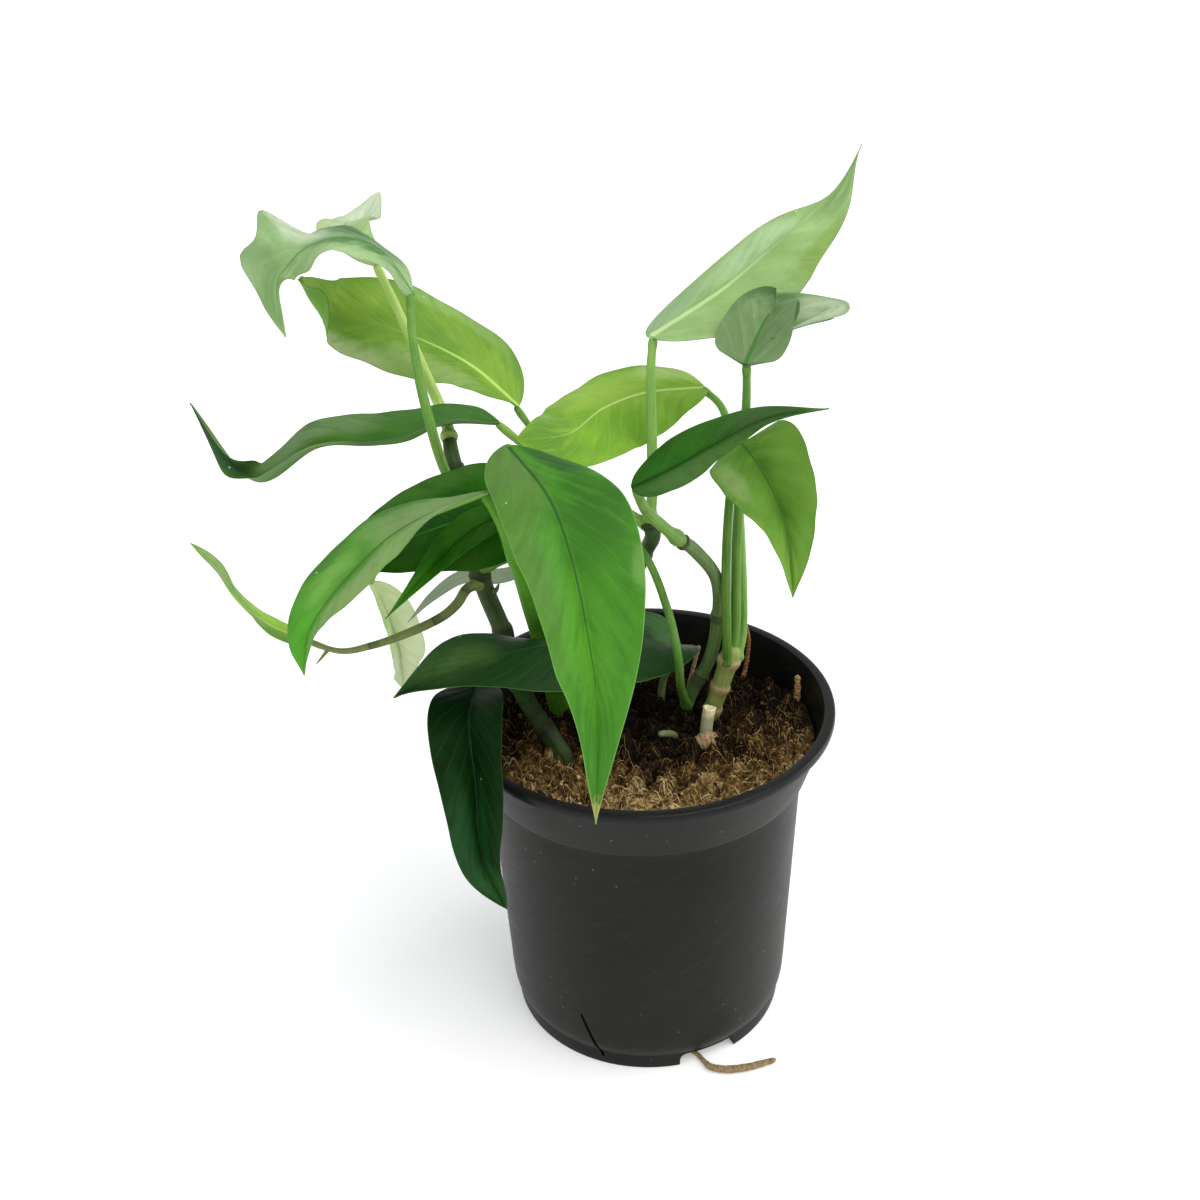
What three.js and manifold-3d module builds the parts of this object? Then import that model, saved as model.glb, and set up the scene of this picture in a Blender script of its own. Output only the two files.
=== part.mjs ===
// Potted pothos: a climbing aroid with lance-shaped leaves in a round plastic nursery pot.
// Millimetres, +Z up. The origin is on the pot's axis, in the plane that the pot stands on.
import * as THREE from "three";
import * as BufferGeometryUtils from "three/addons/utils/BufferGeometryUtils.js";
import Module from "manifold-3d";

const wasm = await Module();
wasm.setup();

// Driving dimensions of the pot
const potHeight = 113;
const rimRadius = 60;
const lipHeight = 3;
const lipWidth = 3.5;
const stepRadius = 50.6;
const stepHeight = 92.5;
const footRadius = 44.8;
const footHeight = 5.5;
const wall = 1.3;
const floorThickness = 3;
const potSegments = 48;

// Drain openings at the foot of the pot
const drainCount = 3;
const drainWidth = 20;
const drainHeight = 4.6;
const drainFirstAngle = -64.5;
const slitAngle = -113.7;
const slitWidth = 1;
const slitBottom = 2.5;
const slitTop = 21.5;
const slitLean = 20;

// Soil
const soilLevel = 98;
const soilFloor = 3.4;
const soilSectors = 48;
const soilRings = 6;

// Plant
const gap = 0.3;
const leafThickness = 1.0;
const leafStations = 14;
const tubeSides = 6;
const edgeWidth = 0.9;
const joinDepth = 0.5;

// One leaf blade each: the midrib's points from base to tip, the way its upper face looks at
// evenly spaced stations, its full width, and how far each half is folded up, in degrees.
// base and taper shape the outline: a small base is a rounder base, a large taper a finer tip.
const leaves = [
  {
    name: "leaf_front_drooping",
    route: [[-36, -19, 209], [-24, -40, 203], [-18, -52, 191], [-14, -63, 174], [-12, -69, 155], [-13, -81, 127]],
    face: [[0.3, -0.3, 0.9], [0.3, -0.7, 0.6], [0.1, -1, 0.2]],
    width: 38, base: 0.6, taper: 1.1, fold: [-5, 30, 30], colour: 0x4f9a3a,
  },
  {
    name: "leaf_front_left",
    route: [[-40, -36, 203], [-63, -36, 193], [-77, -45, 184], [-87, -56, 174], [-88, -67, 166]],
    face: [[0.1, 0.3, 0.9], [-0.5, -0.4, 0.8], [-0.5, -0.8, 0.2]],
    width: 24, base: 0.6, taper: 1, fold: [5, 10, 30], colour: 0x6da550,
  },
  {
    name: "leaf_dark_left",
    route: [[-32, -7, 186], [-40, -11, 186], [-55, -17, 184], [-71, -25, 181], [-82, -30, 176]],
    face: [[0.1, -0.5, 0.8], [-0.1, -0.5, 0.8], [-0.3, -0.6, 0.7]],
    width: 36, base: 0.6, taper: 1, fold: [5, 0, 25], colour: 0x2b6a20,
  },
  {
    name: "leaf_small_dark_left",
    route: [[-34, -19, 190], [-45, -25, 187], [-53, -31, 183], [-60, -38, 178], [-69, -47, 171]],
    face: [[0.3, -0.5, 0.8], [0.3, -0.5, 0.8], [0.2, -0.7, 0.6]],
    width: 11, base: 0.6, taper: 1.3, fold: [15, 30, 20], colour: 0x2f6a1c,
  },
  {
    name: "leaf_low_dark",
    route: [[13, 27, 116], [-1, 14, 127], [-25, -9, 140], [-49, -25, 143], [-71, -38, 140]],
    face: [[0, -0.2, 1], [0, -0.2, 1], [0, -0.6, 0.8]],
    width: 35, base: 0.4, taper: 0.8, fold: [35, -30, 60], colour: 0x25502f,
  },
  {
    name: "leaf_hanging_left",
    route: [[-50, -14, 129], [-51, -31, 127], [-49, -43, 113], [-48, -49, 92], [-42, -50, 72]],
    face: [[-0.1, -0.6, 0.8], [0, -1, 0.2], [0, -1, 0]],
    width: 27, base: 0.55, taper: 0.9, fold: [10, 45, 40], colour: 0x1b4524,
  },
  {
    name: "leaf_dark_right",
    route: [[-2, -23, 197], [10, -25, 204], [21, -26, 211], [34, -27, 218], [50, -30, 222]],
    face: [[0, -0.6, 0.8], [0.1, -0.6, 0.8], [0.1, -0.5, 0.9]],
    width: 15, base: 0.55, taper: 1.2, fold: [0, 25, 35], colour: 0x2f6234,
  },
  {
    name: "leaf_hanging_right",
    route: [[30, 6, 197], [34, -1, 194], [39, -8, 186], [42, -14, 177], [43, -25, 163]],
    face: [[-0.2, -0.5, 0.8], [0, -0.9, 0.4], [0.2, -1, 0.1]],
    width: 34, base: 0.6, taper: 1, fold: [10, 45, 45], colour: 0x4c8a3c,
  },
  {
    name: "leaf_bright_centre",
    route: [[21, 36, 203], [3, 28, 205], [-10, 16, 205], [-20, 2, 203], [-34, -11, 207]],
    face: [[-0.1, -0.2, 1], [-0.2, -0.3, 0.9], [0.1, -0.7, 0.7]],
    width: 34, base: 0.6, taper: 0.9, fold: [15, -3, 4], foldLeft: [5, -28, -20], colour: 0x7cb342,
  },
  {
    name: "leaf_broad_back_left",
    route: [[-38, 48, 193], [-54, 54, 206], [-76, 51, 219], [-96, 49, 225], [-99, 33, 241]],
    face: [[0, 0.1, 1], [0.1, -0.6, 0.8], [0, -0.7, 0.7]],
    width: 34, base: 0.5, taper: 0.8, fold: [25, 8, 40], colour: 0x6fa83c,
  },
  {
    name: "leaf_long_wavy_left",
    route: [[-42, 27, 197], [-57, 23, 199], [-75, 15, 197], [-94, 9, 198], [-114, 8, 188], [-130, 10, 212]],
    face: [[-0.1, 0, 1], [-0.2, 0, 1], [0, -0.1, 1], [-0.3, 0, 0.9], [-0.8, -0.4, 0.5]],
    width: 24, base: 0.6, taper: 1, fold: [15, 20, 45], colour: 0x3f7a33,
  },
  {
    name: "leaf_arched_left",
    route: [[-64, 21, 239], [-72, 16, 254], [-85, 11, 258], [-97, 4, 251], [-96, -4, 236]],
    face: [[-0.2, -0.3, 0.9], [-0.1, -0.1, 1], [-0.7, -0.2, 0.6], [-0.4, -0.7, -0.7], [-0.9, -0.5, 0]],
    width: 26, base: 0.6, taper: 1, fold: [5, 0, 10, 35], foldLeft: [-10, -30, -5, 15], lean: 0.5,
    colour: 0x7da56a,
  },
  {
    name: "leaf_pale_back_left",
    route: [[-76, 38, 243], [-85, 45, 249], [-87, 54, 251], [-84, 66, 249], [-80, 78, 255]],
    face: [[0, -0.3, 1], [-0.1, -0.2, 1], [0, -0.3, 1]],
    width: 17, base: 0.6, taper: 0.8, fold: [15, 15, 10], colour: 0xa5c67c,
  },
  {
    name: "leaf_curled_right",
    route: [[30, -3, 224], [33, 8, 225], [41, 17, 233], [50, 11, 237], [38, -1, 228]],
    face: [[-0.1, -1, 0.3], [0.1, -0.7, 0.7], [-0.4, -0.8, 0.45], [-0.4, -0.5, 0.8], [-0.7, -0.7, -0.2]],
    width: 27, base: 0.45, taper: 0.8, fold: [40, 55, 10, 15], foldLeft: [15, 20, 38, -20, 50], lean: -0.17,
    colour: 0x7f9f74,
  },
  {
    name: "leaf_tall_right",
    route: [[4, 5, 230], [27, 25, 239], [42, 28, 249], [56, 33, 260], [66, 44, 273]],
    face: [[-0.2, -0.7, 0.7], [-0.05, -0.9, 0.43], [-0.5, -0.7, 0.4]],
    width: 29, base: 0.5, taper: 0.9, fold: [-5, -5, 5], colour: 0x86ad62,
  },
  {
    name: "leaf_young_narrow",
    route: [[-105, 4, 135], [-115, -2, 145], [-121, -6, 156], [-125, -8, 167], [-130, -11, 177]],
    face: [[0.3, -0.4, 0.9], [0.4, 0.1, 0.9], [0.3, -0.4, 0.9]],
    width: 11, base: 0.5, taper: 0.9, fold: [-5, 10, 20], colour: 0x8fc062,
  },
  {
    name: "leaf_pale_low_left",
    route: [[-87, 23, 145], [-83, 24, 134], [-80, 24, 121], [-80, 26, 112], [-80, 27, 102]],
    face: [[0.7, -0.5, 0.5], [0.6, -0.7, 0.3], [0.7, -0.7, 0.1]],
    width: 19, base: 0.6, taper: 0.9, fold: [45, 45, 15], colour: 0xc4dba4,
  },
  {
    name: "leaf_narrow_behind",
    route: [[-32, 22, 150], [-44, 20, 147], [-56, 20, 147], [-66, 17, 142], [-74, 14, 135]],
    face: [[0.1, -0.4, 0.9], [0, -0.5, 0.9], [-0.1, -0.7, 0.7]],
    width: 6.5, base: 0.5, taper: 1.1, fold: [20, 25, 15], colour: 0x9fb090,
  },
];

// The woody and green stems, from inside the soil to their upper end
const stems = [
  {
    name: "stem_left", radius: [2.9, 2.9, 2.7, 2.1], colour: 0x2c3f2b,
    route: [[-19, -12, 86], [-26, -9, 100], [-37, 0, 115], [-43, 7, 134], [-48, 9, 149], [-52, 11, 165],
      [-54, 14, 181], [-56, 18, 190], [-57, 22, 194]],
  },
  {
    name: "stem_middle", radius: [2.3, 2.3, 2.6], colour: 0x3c5a3c,
    route: [[-4, 35, 84], [-5, 36, 100], [-5, 35, 121], [-2, 29, 141], [2, 18, 157], [4, 12, 165], [3, 10, 171]],
  },
  {
    name: "stem_right", radius: [2.1, 2.0, 2.0, 2.0], colour: 0x6b8f63,
    route: [[13, 20, 84], [15, 17, 102], [22, 15, 120], [24, 13, 136], [24, 10, 147], [22, 7, 155],
      [16, 2, 165], [12, -2, 170]],
  },
  {
    name: "stem_back_right", radius: [2.6, 2.7, 3.2], colour: 0x8a9a5a,
    route: [[21, 11, 84], [22, 10, 100], [25, 9, 113], [29, 9.5, 127]],
  },
];

// The leaf stalks. Each starts on the axis of a stem, at a share of its length, or at a point
// inside the soil, passes through the listed points and ends at the base of its blade.
const stalks = [
  { leaf: "leaf_arched_left", stem: "stem_left", at: 0.72, radius: [1.5, 1.5, 1.3],
    via: [[-57, 6, 191], [-59, 1, 206], [-62, 6, 220], [-64, 14, 231]] },
  { leaf: "leaf_pale_back_left", stem: "stem_left", at: 1, radius: [2.1, 1.7, 1.4],
    via: [[-58, 28, 195], [-61, 35, 200], [-65, 35, 212], [-69, 37, 223], [-73, 38, 234]] },
  { leaf: "leaf_broad_back_left", stem: "stem_right", at: 0.12, radius: [1.5, 1.3, 1.3],
    via: [[12, 5, 115], [11, -2, 130], [8, 1, 145], [1, 8, 161], [-14, 26, 170], [-27, 42, 178]] },
  { leaf: "leaf_long_wavy_left", stem: "stem_middle", at: 0.92, radius: [1.6, 1.4, 1.4],
    via: [[-6, 15, 173], [-15, 20, 176], [-29, 26, 184]] },
  { leaf: "leaf_tall_right", stem: "stem_middle", at: 1, radius: [1.7, 1.6, 1.4],
    via: [[4, 9, 182], [4, 5, 203], [4, 4, 221]] },
  { leaf: "leaf_dark_right", stem: "stem_right", at: 1, radius: [1.8, 1.7, 1.5],
    via: [[6, -9, 179], [1.5, -15, 187]] },
  { leaf: "leaf_curled_right", stem: "stem_back_right", start: [28.5, 9.5, 124], radius: [1.6, 1.6, 1.4],
    via: [[29.5, 11, 133], [29.5, 12, 161], [30.5, 10, 189], [31, 4, 210]] },
  { leaf: "leaf_bright_centre", stem: "stem_back_right", start: [30, 11.5, 120], radius: [1.5, 1.5, 1.3],
    via: [[32, 14.5, 131], [31, 16.5, 161], [29, 21, 186], [26, 30, 198]] },
  { leaf: "leaf_hanging_right", stem: "stem_back_right", start: [27, 7.5, 121], radius: [1.5, 1.5, 1.3],
    via: [[26.5, 6.5, 131], [26, 6, 161], [27.5, 7, 186]] },
  { leaf: "leaf_front_drooping", soil: [-11, 24, 88], radius: [1.9, 1.7, 1.5],
    via: [[-12, 26, 110], [-16, 26, 135], [-22, 18, 165], [-30, 2, 188], [-35, -10, 200]] },
  { leaf: "leaf_front_left", soil: [-26, 22, 86], radius: [2.2, 2.0, 1.5],
    via: [[-28, 17, 104], [-31, 12, 127], [-33, 1, 146], [-34, -18, 168], [-35, -30, 180], [-37, -35, 192]] },
  { leaf: "leaf_dark_left", stem: "stem_left", at: 0.64, radius: [1.5, 1.4, 1.4],
    via: [[-45, 8, 173], [-37, 2, 181]] },
  { leaf: "leaf_small_dark_left", stem: "stem_left", at: 0.55, radius: [1.2, 1.1, 0.9],
    via: [[-36, 0, 166], [-29, -12, 179], [-30, -17, 187]] },
  { leaf: "leaf_low_dark", soil: [5, 29, 86], radius: [1.4, 1.3, 1.2],
    via: [[7, 30, 102], [11, 29, 111]] },
  { leaf: "leaf_hanging_left", stem: "stem_left", at: 0.24, radius: [1.4, 1.3, 1.2],
    via: [[-41, -5, 123], [-47, -8, 129]] },
  { leaf: "leaf_pale_low_left", stem: "stem_left", at: 0.6, radius: [1.2, 1.1, 1.0],
    via: [[-66, 18, 163], [-80, 21, 157]] },
  { leaf: "leaf_narrow_behind", soil: [-17, 31, 88], radius: [1.1, 1.0, 0.8],
    via: [[-19, 33, 110], [-21, 33, 132], [-26, 27, 147]] },
  { leaf: "leaf_young_narrow", stem: "stem_left", at: 0.52, radius: [1.7, 1.4, 0.9], name: "shoot_side_left",
    via: [[-53, 4, 152], [-56, 0, 149], [-61, -3, 146], [-71, -5, 142], [-82, -5, 138], [-93, -3, 135]] },
];

// Small dry pieces: roots and stubs that stand or lie in the soil, and the root on the ground
const litter = [
  { name: "callus", radius: [2.2, 3.0, 2.4], colour: 0x8b6a4a,
    route: [[16, -5, 99], [20, -4, 100], [24, -3, 99]] },
  { name: "stub_cut_ring", radius: [1.9, 2.1, 2.1], colour: 0xd8cba6,
    route: [[20, 2, 92], [20, 2, 100], [21, 3, 108]] },
  { name: "stub_old_petiole", radius: [1.3, 1.2, 1.0], colour: 0x6f7a4c,
    route: [[11, 5, 90], [9.5, 1, 99], [5, -7, 105]] },
  { name: "root_dry_back", radius: [0.9, 0.7, 0.5], colour: 0xa5693d,
    route: [[32, 34, 93], [35, 38, 100], [36, 38, 111], [35, 37, 118]] },
  { name: "twig_dry_middle", radius: [0.8, 0.7, 0.6], colour: 0xb08a5c,
    route: [[14, 29, 90], [15, 29, 98], [19, 30, 115]] },
  { name: "twig_knobby_right", radius: [1.0, 1.1, 0.8], colour: 0xb58f5e,
    route: [[47, 14, 95], [50, 15, 103], [50, 15, 112]] },
];
const groundRoot = {
  name: "root_from_drain",
  radius: [1.0, 0.8, 1.0, 1.2, 1.2, 0.9],
  colour: 0x8c7650,
  route: [[13, -38, 2.1], [16, -41, 1.4], [18, -44, 1.4], [20, -46, 1.4], [25, -47, 1.4], [32, -46, 1.4],
    [41, -43, 1.4]],
};

// Helpers
function points(list) {
  return list.map((p) => new THREE.Vector3(...p));
}

function curveThrough(list) {
  return new THREE.CatmullRomCurve3(points(list), false, "catmullrom", 0.5);
}

function valueAlong(values, t) {
  if (values.length === 1) {
    return values[0];
  }
  return curveThrough(values.map((v) => [v, 0, 0])).getPoint(t).x;
}

function closedTube(rings) {
  const sides = rings[0].length;
  const position = [];
  const index = [];
  rings.forEach((ring) => ring.forEach((p) => position.push(p.x, p.y, p.z)));
  for (let i = 0; i < rings.length - 1; i += 1) {
    for (let j = 0; j < sides; j += 1) {
      const a = i * sides + j;
      const b = i * sides + ((j + 1) % sides);
      index.push(a, b, b + sides);
      index.push(a, b + sides, a + sides);
    }
  }
  const last = (rings.length - 1) * sides;
  for (let j = 1; j < sides - 1; j += 1) {
    index.push(0, j + 1, j);
    index.push(last, last + j, last + j + 1);
  }
  const geometry = new THREE.BufferGeometry();
  geometry.setAttribute("position", new THREE.Float32BufferAttribute(position, 3));
  geometry.setIndex(index);
  return geometry;
}

function toSolid(geometry) {
  const bare = geometry.clone();
  bare.deleteAttribute("normal");
  bare.deleteAttribute("uv");
  const merged = BufferGeometryUtils.mergeVertices(bare, 1e-4);
  return new wasm.Manifold(new wasm.Mesh({
    numProp: 3,
    vertProperties: new Float32Array(merged.attributes.position.array),
    triVerts: new Uint32Array(merged.index.array),
  }));
}

function toGeometry(solid) {
  const mesh = solid.getMesh();
  const geometry = new THREE.BufferGeometry();
  geometry.setAttribute("position", new THREE.Float32BufferAttribute(mesh.vertProperties, 3));
  geometry.setIndex(Array.from(mesh.triVerts));
  return geometry;
}

const group = new THREE.Group();
group.name = "potted_pothos";

function addPiece(name, geometry, colour, roughness) {
  const flat = geometry.index ? geometry.toNonIndexed() : geometry;
  flat.computeVertexNormals();
  const material = new THREE.MeshStandardMaterial({ color: colour, roughness, metalness: 0 });
  const mesh = new THREE.Mesh(flat, material);
  mesh.name = name;
  group.add(mesh);
}

// Round stems, stalks and roots
function tube(route, radius, extra) {
  const curve = curveThrough(route);
  const steps = Math.max(4, 2 * (route.length - 1));
  const rings = [];
  let side = null;
  for (let i = 0; i <= steps; i += 1) {
    const t = i / steps;
    const centre = curve.getPoint(t);
    const along = curve.getTangent(t);
    if (side === null) {
      side = Math.abs(along.z) > 0.8 ? new THREE.Vector3(1, 0, 0) : new THREE.Vector3(0, 0, 1);
    }
    side.addScaledVector(along, -side.dot(along)).normalize();
    const up = new THREE.Vector3().crossVectors(along, side);
    const r = valueAlong(radius, t) + extra;
    if (i === 0) {
      centre.addScaledVector(along, -extra);
    }
    if (i === steps) {
      centre.addScaledVector(along, extra);
    }
    const ring = [];
    for (let j = 0; j < tubeSides; j += 1) {
      const angle = (2 * Math.PI * j) / tubeSides;
      ring.push(centre.clone()
        .addScaledVector(side, r * Math.cos(angle))
        .addScaledVector(up, r * Math.sin(angle)));
    }
    rings.push(ring);
  }
  return closedTube(rings);
}

// Leaf blades: a ridge along the midrib, two halves that thin out to the margins.
// The stations lie closer together near the base and the tip.
function blade(leaf, extra) {
  const curve = curveThrough(leaf.route);
  const facing = curveThrough(leaf.face);
  const lean = leaf.lean || 0;
  const peak = leaf.base / (leaf.base + leaf.taper);
  const peakValue = Math.pow(peak, leaf.base) * Math.pow(1 - peak, leaf.taper);
  const rings = [];
  for (let i = 0; i < leafStations; i += 1) {
    const share = i / (leafStations - 1);
    const t = share - 0.07 * Math.sin(2 * Math.PI * share);
    const centre = curve.getPoint(t);
    const along = curve.getTangent(t);
    const normal = facing.getPoint(t);
    normal.addScaledVector(along, -normal.dot(along)).normalize();
    const across = new THREE.Vector3().crossVectors(along, normal);
    const outline = Math.pow(t, leaf.base) * Math.pow(1 - t, leaf.taper) / peakValue;
    const half = Math.max(edgeWidth, (leaf.width / 2) * outline) + extra;
    if (i === 0) {
      centre.addScaledVector(along, -extra);
    }
    const rightFold = THREE.MathUtils.degToRad(valueAlong(leaf.fold, t));
    const leftFold = THREE.MathUtils.degToRad(valueAlong(leaf.foldLeft || leaf.fold, t));
    const at = (sign, share2, lift) => {
      const fold = sign > 0 ? rightFold : leftFold;
      const reach = half * (1 + sign * lean) * share2;
      const half3 = lift * (leafThickness / 2 + extra);
      return centre.clone()
        .addScaledVector(across, sign * (reach * Math.cos(fold) - half3 * Math.sin(fold) * share2))
        .addScaledVector(normal, reach * Math.sin(fold) + half3 * Math.cos(fold * share2));
    };
    rings.push([
      at(1, 1, 0), at(1, 0.5, -0.8), at(1, 0, -1), at(-1, 0.5, -0.8),
      at(-1, 1, 0), at(-1, 0.5, 0.8), at(1, 0, 1), at(1, 0.5, 0.8),
    ]);
  }
  return closedTube(rings);
}

// Pot: one wall turned about the axis, with its lip, stepped collar, rounded foot and floor
function potProfile() {
  const lipBottom = potHeight - lipHeight;
  const outer = [
    [0, 0], [footRadius - 0.6, 0], [footRadius, 0.6], [footRadius, footHeight], [footRadius + 0.9, footHeight + 1.6],
    [footRadius + 1.6, footHeight + 5], [footRadius + 2.1, 20], [stepRadius - 0.4, stepHeight - 1],
    [stepRadius, stepHeight - 0.4], [stepRadius + 1.2, stepHeight], [stepRadius + 2, stepHeight + 1.5],
    [rimRadius - 2.2, lipBottom], [rimRadius - 0.5, lipBottom + 0.2], [rimRadius, lipBottom + 0.9],
    [rimRadius, potHeight - 0.9], [rimRadius - 0.9, potHeight],
  ];
  const inner = [
    [rimRadius - lipWidth, potHeight], [rimRadius - lipWidth - 0.2, potHeight - 1.4],
    [stepRadius + 1.2, stepHeight + 1.2], [stepRadius - wall, stepHeight - 0.8],
    [footRadius + 2.1 - wall, 20], [footRadius + 1 - wall, footHeight + 3], [footRadius - 2.5, floorThickness + 0.6],
    [footRadius - 4, floorThickness], [0, floorThickness],
  ];
  return outer.concat(inner).map(([r, z]) => new THREE.Vector2(r, z));
}

function potGeometry() {
  const lathe = new THREE.LatheGeometry(potProfile(), potSegments);
  lathe.rotateX(Math.PI / 2);
  return lathe;
}

function drainCutter(angle) {
  const shape = new THREE.Shape();
  shape.moveTo(-drainWidth / 2, -1);
  shape.lineTo(drainWidth / 2, -1);
  shape.lineTo(drainWidth / 2, drainHeight - 2.4);
  shape.quadraticCurveTo(drainWidth / 2 - 0.4, drainHeight, drainWidth / 2 - 3, drainHeight);
  shape.lineTo(-drainWidth / 2 + 3, drainHeight);
  shape.quadraticCurveTo(-drainWidth / 2 + 0.4, drainHeight, -drainWidth / 2, drainHeight - 2.4);
  const cutter = new THREE.ExtrudeGeometry(shape, { depth: 10, bevelEnabled: false, curveSegments: 3 });
  cutter.rotateX(Math.PI / 2);
  cutter.rotateZ(Math.PI / 2);
  cutter.translate(footRadius - 7, 0, 0);
  cutter.rotateZ(THREE.MathUtils.degToRad(angle));
  return cutter;
}

function slitCutter() {
  const cutter = new THREE.BoxGeometry(8, slitWidth, slitTop - slitBottom);
  cutter.rotateX(THREE.MathUtils.degToRad(slitLean));
  cutter.translate(footRadius, 0, (slitTop + slitBottom) / 2);
  cutter.rotateZ(THREE.MathUtils.degToRad(slitAngle));
  return cutter;
}

function buildPot() {
  let pot = toSolid(potGeometry());
  for (let i = 0; i < drainCount; i += 1) {
    pot = pot.subtract(toSolid(drainCutter(drainFirstAngle + (360 * i) / drainCount)));
  }
  return pot.subtract(toSolid(slitCutter()));
}

// Soil: fills the pot to an uneven surface, higher at the front right, lower at the back
function innerRadius(z) {
  const lower = [footRadius + 1 - wall, footHeight + 3];
  const middle = [footRadius + 2.1 - wall, 20];
  const upper = [stepRadius - wall, stepHeight - 0.8];
  const ledge = [stepRadius + 1.2, stepHeight + 1.2];
  const top = [rimRadius - lipWidth - 0.2, potHeight - 1.4];
  const stations = [lower, middle, upper, ledge, top];
  for (let i = 0; i < stations.length - 1; i += 1) {
    const [r0, z0] = stations[i];
    const [r1, z1] = stations[i + 1];
    if (z <= z1 || i === stations.length - 2) {
      return r0 + ((r1 - r0) * (z - z0)) / (z1 - z0);
    }
  }
  return upper[0];
}

function soilHeight(x, y) {
  const slope = 0.002 * x * Math.max(x, 0) - 0.075 * y;
  const lumps = 0.9 * Math.sin(0.21 * x + 1.3) * Math.cos(0.17 * y) + 0.5 * Math.sin(0.47 * x - 0.39 * y);
  return soilLevel + slope + lumps;
}

function soilGeometry() {
  const position = [];
  const index = [];
  const ringAt = (radiusOf, heightOf) => {
    const start = position.length / 3;
    for (let j = 0; j < soilSectors; j += 1) {
      const angle = (2 * Math.PI * j) / soilSectors;
      const r = radiusOf(angle);
      const x = r * Math.cos(angle);
      const y = r * Math.sin(angle);
      position.push(x, y, heightOf(x, y));
    }
    return start;
  };
  const join = (low, high) => {
    for (let j = 0; j < soilSectors; j += 1) {
      const k = (j + 1) % soilSectors;
      index.push(low + j, low + k, high + k);
      index.push(low + j, high + k, high + j);
    }
  };
  const edge = (angle) => {
    const guess = soilHeight(50 * Math.cos(angle), 50 * Math.sin(angle));
    return innerRadius(guess) - gap - 0.25;
  };
  position.push(0, 0, soilFloor);
  const bottom = ringAt(() => footRadius - 4.5, () => soilFloor);
  let below = bottom;
  [10, 20, stepHeight - 1.3, stepHeight + 1.6].forEach((z) => {
    const ring = ringAt(() => innerRadius(z) - gap - 0.25, () => z);
    join(below, ring);
    below = ring;
  });
  for (let i = soilRings; i > 0; i -= 1) {
    const ring = ringAt((angle) => (edge(angle) * i) / soilRings, soilHeight);
    join(below, ring);
    below = ring;
  }
  const top = position.length / 3;
  position.push(0, 0, soilHeight(0, 0));
  for (let j = 0; j < soilSectors; j += 1) {
    const k = (j + 1) % soilSectors;
    index.push(0, bottom + k, bottom + j);
    index.push(top, below + j, below + k);
  }
  const geometry = new THREE.BufferGeometry();
  geometry.setAttribute("position", new THREE.Float32BufferAttribute(position, 3));
  geometry.setIndex(index);
  return geometry;
}

// Assembly
const stemByName = new Map(stems.map((stem) => [stem.name, stem]));
const leafByName = new Map(leaves.map((leaf) => [leaf.name, leaf]));
const grownStems = new Map(stems.map((stem) => [stem.name, toSolid(tube(stem.route, stem.radius, gap))]));

function stalkRoute(stalk) {
  const leaf = leafByName.get(stalk.leaf);
  const curve = curveThrough(leaf.route);
  const end = curve.getPoint(0).addScaledVector(curve.getTangent(0), joinDepth);
  let start = stalk.soil || stalk.start;
  if (!start) {
    start = curveThrough(stemByName.get(stalk.stem).route).getPoint(stalk.at).toArray();
  }
  return [start, ...stalk.via, end.toArray()];
}

let soil = toSolid(soilGeometry());
stems.forEach((stem) => {
  soil = soil.subtract(grownStems.get(stem.name));
  addPiece(stem.name, tube(stem.route, stem.radius, 0), stem.colour, 0.6);
});

stalks.forEach((stalk) => {
  const route = stalkRoute(stalk);
  let solid = toSolid(tube(route, stalk.radius, 0));
  solid = solid.subtract(toSolid(blade(leafByName.get(stalk.leaf), gap)));
  if (stalk.soil) {
    soil = soil.subtract(toSolid(tube(route, stalk.radius, gap)));
  } else {
    solid = solid.subtract(grownStems.get(stalk.stem));
  }
  const name = stalk.name || stalk.leaf.replace("leaf", "stalk");
  addPiece(name, toGeometry(solid), 0x6f9f4a, 0.55);
});

leaves.forEach((leaf) => addPiece(leaf.name, blade(leaf, 0), leaf.colour, 0.45));

litter.forEach((piece) => {
  soil = soil.subtract(toSolid(tube(piece.route, piece.radius, gap)));
  addPiece(piece.name, tube(piece.route, piece.radius, 0), piece.colour, 0.9);
});

const potSolid = buildPot();
addPiece("pot", toGeometry(potSolid), 0x3c3d3a, 0.45);
addPiece("soil", toGeometry(soil), 0x4a3320, 0.95);
addPiece(groundRoot.name, tube(groundRoot.route, groundRoot.radius, 0), groundRoot.colour, 0.85);

export default group;
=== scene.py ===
import math

import bmesh
import bpy
import numpy as np
from mathutils import Matrix, Vector


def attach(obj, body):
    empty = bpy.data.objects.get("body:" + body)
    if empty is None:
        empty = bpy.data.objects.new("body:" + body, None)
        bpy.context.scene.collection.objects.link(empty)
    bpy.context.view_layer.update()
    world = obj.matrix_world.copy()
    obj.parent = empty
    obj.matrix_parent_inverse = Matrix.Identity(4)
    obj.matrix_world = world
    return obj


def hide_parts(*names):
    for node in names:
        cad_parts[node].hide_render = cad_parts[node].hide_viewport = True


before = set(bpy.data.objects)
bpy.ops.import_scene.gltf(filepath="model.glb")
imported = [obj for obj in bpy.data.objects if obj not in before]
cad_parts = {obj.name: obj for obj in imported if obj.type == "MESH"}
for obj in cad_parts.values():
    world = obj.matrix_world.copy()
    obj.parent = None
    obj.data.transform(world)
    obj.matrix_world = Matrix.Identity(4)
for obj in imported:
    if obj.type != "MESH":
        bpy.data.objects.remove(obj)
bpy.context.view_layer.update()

# A climbing aroid with lance-shaped leaves in a round plastic nursery pot.
# Routes and sizes are in millimetres, as in the construction, and MM turns them into metres.
MM = 0.001
chance = np.random.default_rng(41)

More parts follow.
